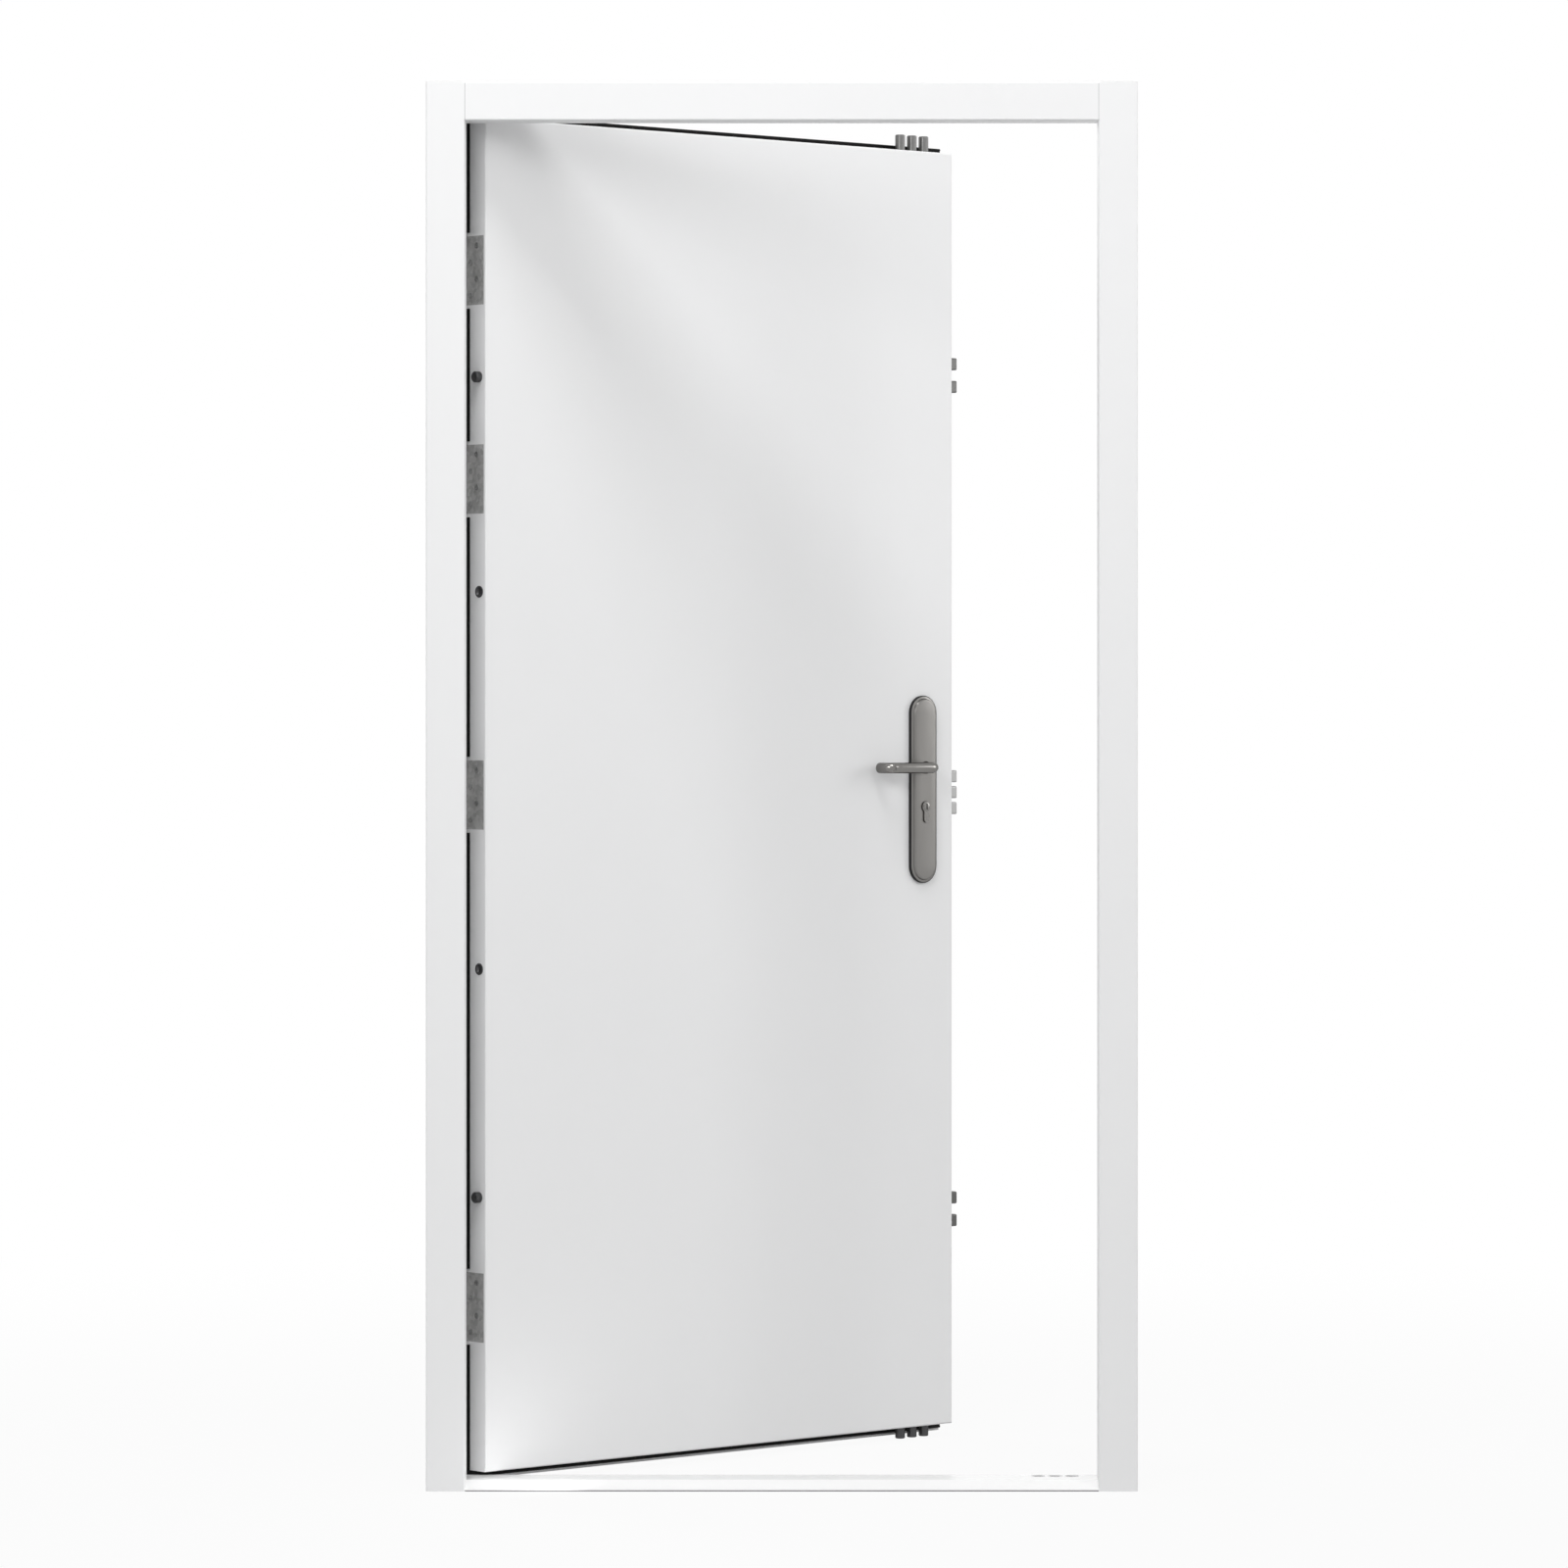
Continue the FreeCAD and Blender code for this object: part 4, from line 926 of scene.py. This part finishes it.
def hole_places():
    """The frame's bolt holes by liner: place looking into the hole, outline maker and depth."""
    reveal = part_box("threshold")[1].x
    places = {"side_bolt_liners": [], "top_bolt_liners": [], "dog_bolt_liners": []}
    half_width, half_height = (half + SIDE_STRIKE_CLEARANCE for half in SIDE_BOLT_HALVES)
    slot = rounded_box_maker(half_width, half_height, SIDE_BOLT_ROUNDING + SIDE_STRIKE_CLEARANCE)
    for node, count in SIDE_BOLTS.items():
        low, high = leaf_extent(node)
        for height in spaced(low.z, high.z, SIDE_BOLT_HALVES[1], count):
            middle = shut((high.x, (low.y + high.y) / 2, height))
            place = looking_along((reveal, middle.y, height), (1, 0, 0))
            places["side_bolt_liners"].append((place, slot, LINER_DEPTH))
    round_hole = circle_maker(END_BOLT_RADIUS + STRIKE_CLEARANCE)
    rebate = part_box("head")[0].z + REBATE_RISE
    low, high = leaf_extent("top_bolts")
    for across in spaced(low.x, high.x, END_BOLT_RADIUS, TOP_BOLTS):
        middle = shut((across, (low.y + high.y) / 2, 0.0))
        place = looking_along((middle.x, middle.y, rebate), (0, 0, 1), (1, 0, 0))
        places["top_bolt_liners"].append((place, round_hole, LINER_DEPTH))
    dog_hole = circle_maker(DOG_BOLT_RADIUS + DOG_CLEARANCE)
    low, high = leaf_extent("dog_bolts")
    for height in spaced(low.z, high.z, DOG_BOLT_RADIUS, DOG_BOLTS):
        middle = shut((0.0, (low.y + high.y) / 2, height))
        place = looking_along((-reveal, middle.y, height), (-1, 0, 0))
        places["dog_bolt_liners"].append((place, dog_hole, DOG_LINER_DEPTH))
    return places


def circle_maker(radius):
    """A function that gives a circle of this radius, grown by a margin."""
    return lambda margin: circle(radius + margin)


def rounded_box_maker(half_width, half_height, rounding):
    """A function that gives a rectangle with rounded corners, grown by a margin."""
    def outline(margin):
        radius = rounding + margin
        points = []
        for quarter in range(4):
            across = half_width - rounding if quarter in (0, 3) else rounding - half_width
            along = half_height - rounding if quarter in (0, 1) else rounding - half_height
            for step in range(CORNER_STEPS + 1):
                angle = math.radians(90 * (quarter + step / CORNER_STEPS))
                points.append((across + radius * math.cos(angle), along + radius * math.sin(angle)))
        return points
    return outline


def hole_liner(mesh, place, outline, depth):
    """A nylon cup behind a bolt hole, with a thin flange round the hole."""
    profile = [
        (LINER_FLANGE, 0.0),
        (LINER_FLANGE, -LINER_FLANGE_PROUD * 0.6),
        (LINER_FLANGE * 0.8, -LINER_FLANGE_PROUD),
        (LINER_FLANGE * 0.2, -LINER_FLANGE_PROUD),
        (0.0, -LINER_FLANGE_PROUD * 0.6),
        (0.0, depth),
    ]
    loops = [ring(mesh, place, outline(margin - LINER_FIT), level) for margin, level in profile]
    bridge_rows(mesh, loops)
    mesh.faces.new(loops[-1])


class DOOR_OT_handles(bpy.types.Operator):
    """Build the escutcheons, levers and cylinder faces on both sides of the leaf"""

    bl_idname = "door.dress_handles"
    bl_label = "Dress Handles"

    def execute(self, context):
        colours = context.scene.door_colours
        sizes = context.scene.door_sizes
        upright_grain = (1400.0, 1400.0, 25.0)
        level_grain = (40.0, 1400.0, 1400.0)
        turned_grain = (300.0, 300.0, 300.0)
        cover = drawn_metal("satin_nickel_cover", colours.nickel, upright_grain, 0.0, (0.30, 0.38))
        bar = drawn_metal(
            "satin_nickel_bar", colours.nickel, level_grain, 0.0, (0.14, 0.19), edge_tint=POLISHED_EDGE
        )
        turned = drawn_metal("cylinder_nickel", colours.nickel, turned_grain, 0.0, (0.26, 0.34))
        # The backing's black is partly real nylon and partly painted shade along each escutcheon's edge.
        nylon = moulded("backing_nylon", colours.nylon, 1200.0, (0.60, 0.70), 0.00002, 0.15)
        finish_node("lock_cylinder", turned)
        depth_of_leaf = leaf_extent("leaf_outer_skin")[1].y
        low, high = leaf_extent("inner_escutcheon")
        for side, mirror in (("inner", None), ("outer", depth_of_leaf)):
            name = side + "_escutcheon_cover"
            plate = escutcheon_mesh(low, high, sizes.backing)
            piece = add_piece(name, plate, [cover, nylon], "leaf", LEAF, mirror)
            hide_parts(side + "_escutcheon")
            mark_backing_and_painted_shade(piece, low, high, sizes.backing, mirror)
            lever = lever_mesh()
            piece = add_piece(side + "_lever_bar", lever, [bar], "levers", LEAF, mirror)
            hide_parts(side + "_lever")
            collar = collar_mesh(low.y, sizes.collar)
            add_piece(side + "_lever_collar", collar, [bar], "leaf", LEAF, mirror)
            plug = plug_mesh()
            add_piece(side + "_cylinder_plug", plug, [turned], "leaf", LEAF, mirror)
        return {"FINISHED"}


def lever_axis():
    """Where the levers turn, across the leaf and above the floor."""
    point = TO_LEAF @ Vector(JOINTS["lever_turn"]["pos_m"])
    return point.x, point.z


def cylinder_places():
    """The lock cylinder's place across, its drum's centre, its leg's centre and its face."""
    low, high = leaf_extent("lock_cylinder")
    return (low.x + high.x) / 2, high.z - DRUM_RADIUS, low.z + LEG_RADIUS, low.y


def cylinder_outline(drum_radius, leg_radius, drop):
    """The outline of a drum over a narrower leg, round its drum's centre."""
    joining = math.asin(leg_radius / drum_radius)
    leg_steps = HALF_ROUND_STEPS // 2
    outline = []
    for step in range(HALF_ROUND_STEPS + 1):
        angle = -math.pi / 2 + joining + (math.tau - 2 * joining) * step / HALF_ROUND_STEPS
        outline.append((drum_radius * math.cos(angle), drum_radius * math.sin(angle)))
    for step in range(leg_steps + 1):
        angle = math.pi + math.pi * step / leg_steps
        outline.append((leg_radius * math.cos(angle), leg_radius * math.sin(angle) - drop))
    return outline


def escutcheon_profile(backing, deep):
    """The plate's edge as (inset, lift) pairs, from the leaf's skin to the flat of the raised field."""
    # The black rim: partly a real nylon backing, partly painted shade at the plate's edge.
    black_rim = [(0.0008, 0.0), (0.0, 0.0004), (0.0, backing - 0.0003), (0.0003, backing)]
    groove = [(0.0012, backing), (0.0013, backing + 0.0002)]
    ledge = [(0.0017, 0.0055), (0.0040, 0.0056), (0.0044, 0.0058)]
    wall = [(0.0047, 0.0064), (0.0049, 0.0078), (0.0053, 0.0087)]
    rounding = [(0.0060, deep - 0.0006), (0.0070, deep - 0.0002), (0.0084, deep)]
    return black_rim + groove + ledge + wall + rounding


def escutcheon_mesh(low, high, backing):
    """A long plate with round ends: a backing, a bevelled cover and a raised field with two holes."""
    centre = (low + high) / 2
    width = high.x - low.x
    height = high.z - low.z
    deep = -low.y
    place = looking_along((centre.x, 0.0, centre.z), (0, -1, 0))
    mesh = bmesh.new()
    loops = []
    for inset, lift in escutcheon_profile(backing, deep):
        loops.append(ring(mesh, place, stadium(width - 2 * inset, height - 2 * inset), lift))
    bridge_rows(mesh, loops)
    neck_across, neck_height = lever_axis()
    drum_across, drum_height, leg_height, _ = cylinder_places()
    neck = circle(NECK_HOLE_RADIUS, BAR_STEPS)
    drop = drum_height - leg_height
    drum = cylinder_outline(DRUM_RADIUS + CYLINDER_FIT, LEG_RADIUS + CYLINDER_FIT, drop)
    side = -1 if place.col[0].x < 0 else 1
    edges = [edge for edge in mesh.edges if edge.verts[0] in loops[-1] and edge.verts[1] in loops[-1]]
    for outline, across, up in ((neck, neck_across, neck_height), (drum, drum_across, drum_height)):
        hole = [(side * (x + across - centre.x), y + up - centre.z) for x, y in outline]
        rim = ring(mesh, place, hole, deep)
        foot = ring(mesh, place, hole, 0.0)
        bridge(mesh, rim, foot)
        edges += [mesh.edges.get((rim[index], rim[(index + 1) % len(rim)])) for index in range(len(rim))]
    bmesh.ops.triangle_fill(mesh, use_beauty=True, use_dissolve=False, edges=edges)
    return mesh


def mark_backing_and_painted_shade(piece, low, high, backing, mirror):
    """Give the faces round the backing plate's outline the black, which is partly real nylon and partly
    painted shade along the escutcheon's edge, but not those in the holes.
    """
    centre = (low + high) / 2
    radius = (high.x - low.x) / 2
    straight = (high.z - low.z) / 2 - radius
    for polygon in piece.data.polygons:
        levels = [piece.data.vertices[index].co.y for index in polygon.vertices]
        lifts = [-level if mirror is None else level - mirror for level in levels]
        rise = max(abs(polygon.center.z - centre.z) - straight, 0.0)
        reach = math.hypot(polygon.center.x - centre.x, rise)
        if max(lifts) < backing + 0.00005 and reach > radius - BACKING_SHADE_RIM:
            polygon.material_index = 1


def lever_mesh():
    """A round bar bent twice, back towards the leaf at its end."""
    across, height = lever_axis()
    tip = across - LEVER_REACH
    bend = LEVER_BEND
    before_bend = bend - LEVER_STAND_OFF
    turns = [math.pi / 2 * step / BEND_STEPS for step in range(BEND_STEPS + 1)]
    points = [Vector((across, -LEVER_ROOT, height)), Vector((across, before_bend, height))]
    for angle in turns[1:]:
        out = before_bend - bend * math.sin(angle)
        points.append(Vector((across - bend + bend * math.cos(angle), out, height)))
    for angle in turns:
        out = before_bend - bend * math.cos(angle)
        points.append(Vector((tip + bend - bend * math.sin(angle), out, height)))
    straight_end = -LEVER_TIP_GAP - LEVER_TIP_ROUNDING
    points.append(Vector((tip, straight_end, height)))
    radii = [LEVER_RADIUS] * len(points)
    for step in range(1, LEVER_TIP_STEPS + 1):
        angle = math.pi / 2 * step / LEVER_TIP_STEPS
        points.append(Vector((tip, straight_end + LEVER_TIP_ROUNDING * math.sin(angle), height)))
        radii.append(LEVER_RADIUS - LEVER_TIP_ROUNDING * (1 - math.cos(angle)))
    mesh = bmesh.new()
    sweep(mesh, points, radii)
    return mesh


def collar_mesh(field, width):
    """A low bearing ring round the lever's neck, on the escutcheon's field."""
    across, height = lever_axis()
    place = looking_along((across, field, height), (0, -1, 0))
    inner = COLLAR_INNER_RADIUS
    outer = inner + width
    top = COLLAR_HEIGHT
    profile = [(inner, -COLLAR_SUNK), (inner, top * 0.75), (inner + top * 0.25, top)]
    profile += [(inner + width * 0.6, top), (inner + width * 0.9, top * 0.75)]
    profile += [(outer, top * 0.25), (outer, -COLLAR_SUNK)]
    mesh = bmesh.new()
    loops = [ring(mesh, place, circle(radius), lift) for radius, lift in profile]
    bridge_rows(mesh, loops)
    bridge(mesh, loops[-1], loops[0])
    return mesh


def plug_mesh():
    """The turning plug of the lock cylinder: a thin raised disc with its keyway."""
    across, drum, _, face = cylinder_places()
    place = looking_along((across, face, drum), (0, -1, 0))
    half_width, half_height = KEYWAY_HALVES
    slot = []
    for x, y in circle(1.0):
        stretch = 1.0 / max(abs(x) / half_width, abs(y) / half_height)
        slot.append((x * stretch, y * stretch))
    mesh = bmesh.new()
    loops = [
        ring(mesh, place, circle(PLUG_RADIUS), 0.0),
        ring(mesh, place, circle(PLUG_RADIUS), PLUG_PROUD / 2),
        ring(mesh, place, circle(PLUG_RADIUS - PLUG_BEVEL), PLUG_PROUD),
        ring(mesh, place, slot, PLUG_PROUD),
        ring(mesh, place, slot, 0.0),
    ]
    bridge_rows(mesh, loops)
    return mesh


# Stage

class DOOR_OT_stage(bpy.types.Operator):
    """Lay the floor, hang the lamps, light the world and set the camera"""

    bl_idname = "door.set_stage"
    bl_label = "Set Stage"

    def execute(self, context):
        settings = context.scene.door_stage
        lay_floor(settings.floor)
        for name, (place, target, width, height) in LAMPS.items():
            hang_lamp(name, getattr(settings, name), place, target, width, height)
        light_world(context.scene, settings.ambient)
        set_camera(context.scene)
        context.scene.view_settings.view_transform = "Standard"
        return {"FINISHED"}


def background_rays(tree):
    """A mask that is 1 where the background is seen, in a mirror or through glass too."""
    path = node_in(tree, "ShaderNodeLightPath")
    first = node_in(tree, "ShaderNodeMath", operation="MAXIMUM")
    second = node_in(tree, "ShaderNodeMath", operation="MAXIMUM")
    tree.links.new(path.outputs["Is Camera Ray"], first.inputs[0])
    tree.links.new(path.outputs["Is Glossy Ray"], first.inputs[1])
    tree.links.new(first.outputs["Value"], second.inputs[0])
    tree.links.new(path.outputs["Is Transmission Ray"], second.inputs[1])
    return second.outputs["Value"]


def lay_floor(colour):
    """A wide pale floor that keeps the door's shadow."""
    mesh = bmesh.new()
    half = FLOOR_HALF
    corners = ((-half, -half), (half, -half), (half, half), (-half, half))
    mesh.faces.new([mesh.verts.new((x, y, -FLOOR_DROP)) for x, y in corners])
    data = bpy.data.meshes.new("studio_floor")
    mesh.to_mesh(data)
    mesh.free()
    material, shader = new_material("studio_floor_paint", 0.9, 0.0, colour)
    tree = material.node_tree
    glow = node_in(tree, "ShaderNodeEmission", {"Color": (1.0, 1.0, 1.0, 1.0), "Strength": 1.0})
    coordinates = node_in(tree, "ShaderNodeTexCoord")
    reach = node_in(tree, "ShaderNodeVectorMath", operation="LENGTH")
    ends = {"From Min": 1.2, "From Max": 4.0, "To Min": 0.94, "To Max": 1.0}
    fade = node_in(tree, "ShaderNodeMapRange", ends, interpolation_type="SMOOTHSTEP")
    share = node_in(tree, "ShaderNodeMath", operation="MULTIPLY")
    mixed = node_in(tree, "ShaderNodeMixShader")
    tree.links.new(coordinates.outputs["Object"], reach.inputs[0])
    tree.links.new(reach.outputs["Value"], fade.inputs["Value"])
    tree.links.new(background_rays(tree), share.inputs[0])
    tree.links.new(fade.outputs["Result"], share.inputs[1])
    tree.links.new(share.outputs["Value"], mixed.inputs[0])
    tree.links.new(shader.outputs["BSDF"], mixed.inputs[1])
    tree.links.new(glow.outputs["Emission"], mixed.inputs[2])
    tree.links.new(mixed.outputs["Shader"], tree.nodes["Material Output"].inputs["Surface"])
    data.materials.append(material)
    floor = bpy.data.objects.new("studio_floor", data)
    bpy.context.scene.collection.objects.link(floor)


def hang_lamp(name, power, place, target, width, height):
    """A soft lamp that faces a point."""
    data = bpy.data.lights.new(name, "AREA")
    data.energy = power
    data.shape = "RECTANGLE"
    data.size = width
    data.size_y = height
    lamp = bpy.data.objects.new(name, data)
    bpy.context.scene.collection.objects.link(lamp)
    lamp.location = place
    lamp.rotation_euler = (Vector(target) - Vector(place)).to_track_quat("-Z", "Y").to_euler()
    lamp.visible_camera = False
    lamp.visible_glossy = name not in UNMIRRORED_LAMPS


def light_world(scene, ambient):
    """White where it is seen, and soft light from all round, stronger from the front, on the door."""
    world = bpy.data.worlds.new("studio_world")
    world.use_nodes = True
    scene.world = world
    tree = world.node_tree
    soft = tree.nodes["Background"]
    soft.inputs["Strength"].default_value = ambient
    seen = node_in(tree, "ShaderNodeBackground", {"Color": (1.0, 1.0, 1.0, 1.0), "Strength": 1.0})
    coordinates = node_in(tree, "ShaderNodeTexCoord")
    leaning = node_in(tree, "ShaderNodeVectorMath", {1: AMBIENT_LEAN}, operation="DOT_PRODUCT")
    ends = {"From Min": -1.0, "From Max": 1.0, "To Min": 0.0, "To Max": 2.0}
    spread = node_in(tree, "ShaderNodeMapRange", ends)
    mixed = node_in(tree, "ShaderNodeMixShader")
    tree.links.new(coordinates.outputs["Generated"], leaning.inputs[0])
    tree.links.new(leaning.outputs["Value"], spread.inputs["Value"])
    tree.links.new(spread.outputs["Result"], soft.inputs["Color"])
    tree.links.new(background_rays(tree), mixed.inputs[0])
    tree.links.new(soft.outputs["Background"], mixed.inputs[1])
    tree.links.new(seen.outputs["Background"], mixed.inputs[2])
    tree.links.new(mixed.outputs["Shader"], tree.nodes["World Output"].inputs["Surface"])


def set_camera(scene):
    """The photograph's view: level, square to the frame, a little above its middle."""
    data = bpy.data.cameras.new("camera")
    data.sensor_width = CAMERA_SENSOR
    data.lens = CAMERA_LENS
    data.shift_y = CAMERA_SHIFT
    data.clip_end = CAMERA_REACH
    camera = bpy.data.objects.new("camera", data)
    scene.collection.objects.link(camera)
    camera.location = CAMERA_PLACE
    camera.rotation_euler = (math.radians(90), 0.0, 0.0)
    scene.camera = camera


# Panel and registration

OPERATORS = (DOOR_OT_frame, DOOR_OT_seals, DOOR_OT_hinges, DOOR_OT_locks, DOOR_OT_handles, DOOR_OT_stage)
GROUPS = (
    (DOOR_PG_colours, "door_colours"),
    (DOOR_PG_sizes, "door_sizes"),
    (DOOR_PG_stage, "door_stage"),
)


class DOOR_PT_panel(bpy.types.Panel):
    """The door's settings and pieces"""

    bl_idname = "DOOR_PT_panel"
    bl_label = "Security Door"
    bl_space_type = "VIEW_3D"
    bl_region_type = "UI"
    bl_category = "Security Door"

    def draw(self, context):
        for group, name in GROUPS:
            box = self.layout.box()
            for title in group.__annotations__:
                box.prop(getattr(context.scene, name), title)
        for operator in OPERATORS:
            self.layout.operator(operator.bl_idname)


def register():
    """Register every class and hang the settings on the scene."""
    for group, name in GROUPS:
        bpy.utils.register_class(group)
        setattr(bpy.types.Scene, name, PointerProperty(type=group))
    for operator in OPERATORS:
        bpy.utils.register_class(operator)
    bpy.utils.register_class(DOOR_PT_panel)


def unregister():
    """Undo what register did."""
    bpy.utils.unregister_class(DOOR_PT_panel)
    for operator in reversed(OPERATORS):
        bpy.utils.unregister_class(operator)
    for group, name in reversed(GROUPS):
        delattr(bpy.types.Scene, name)
        bpy.utils.unregister_class(group)


def main():
    """Dress the door and set the stage."""
    register()
    bpy.ops.door.dress_frame()
    bpy.ops.door.dress_seals()
    bpy.ops.door.dress_hinges()
    bpy.ops.door.dress_locks()
    bpy.ops.door.dress_handles()
    bpy.ops.door.set_stage()


if __name__ == "__main__":
    main()
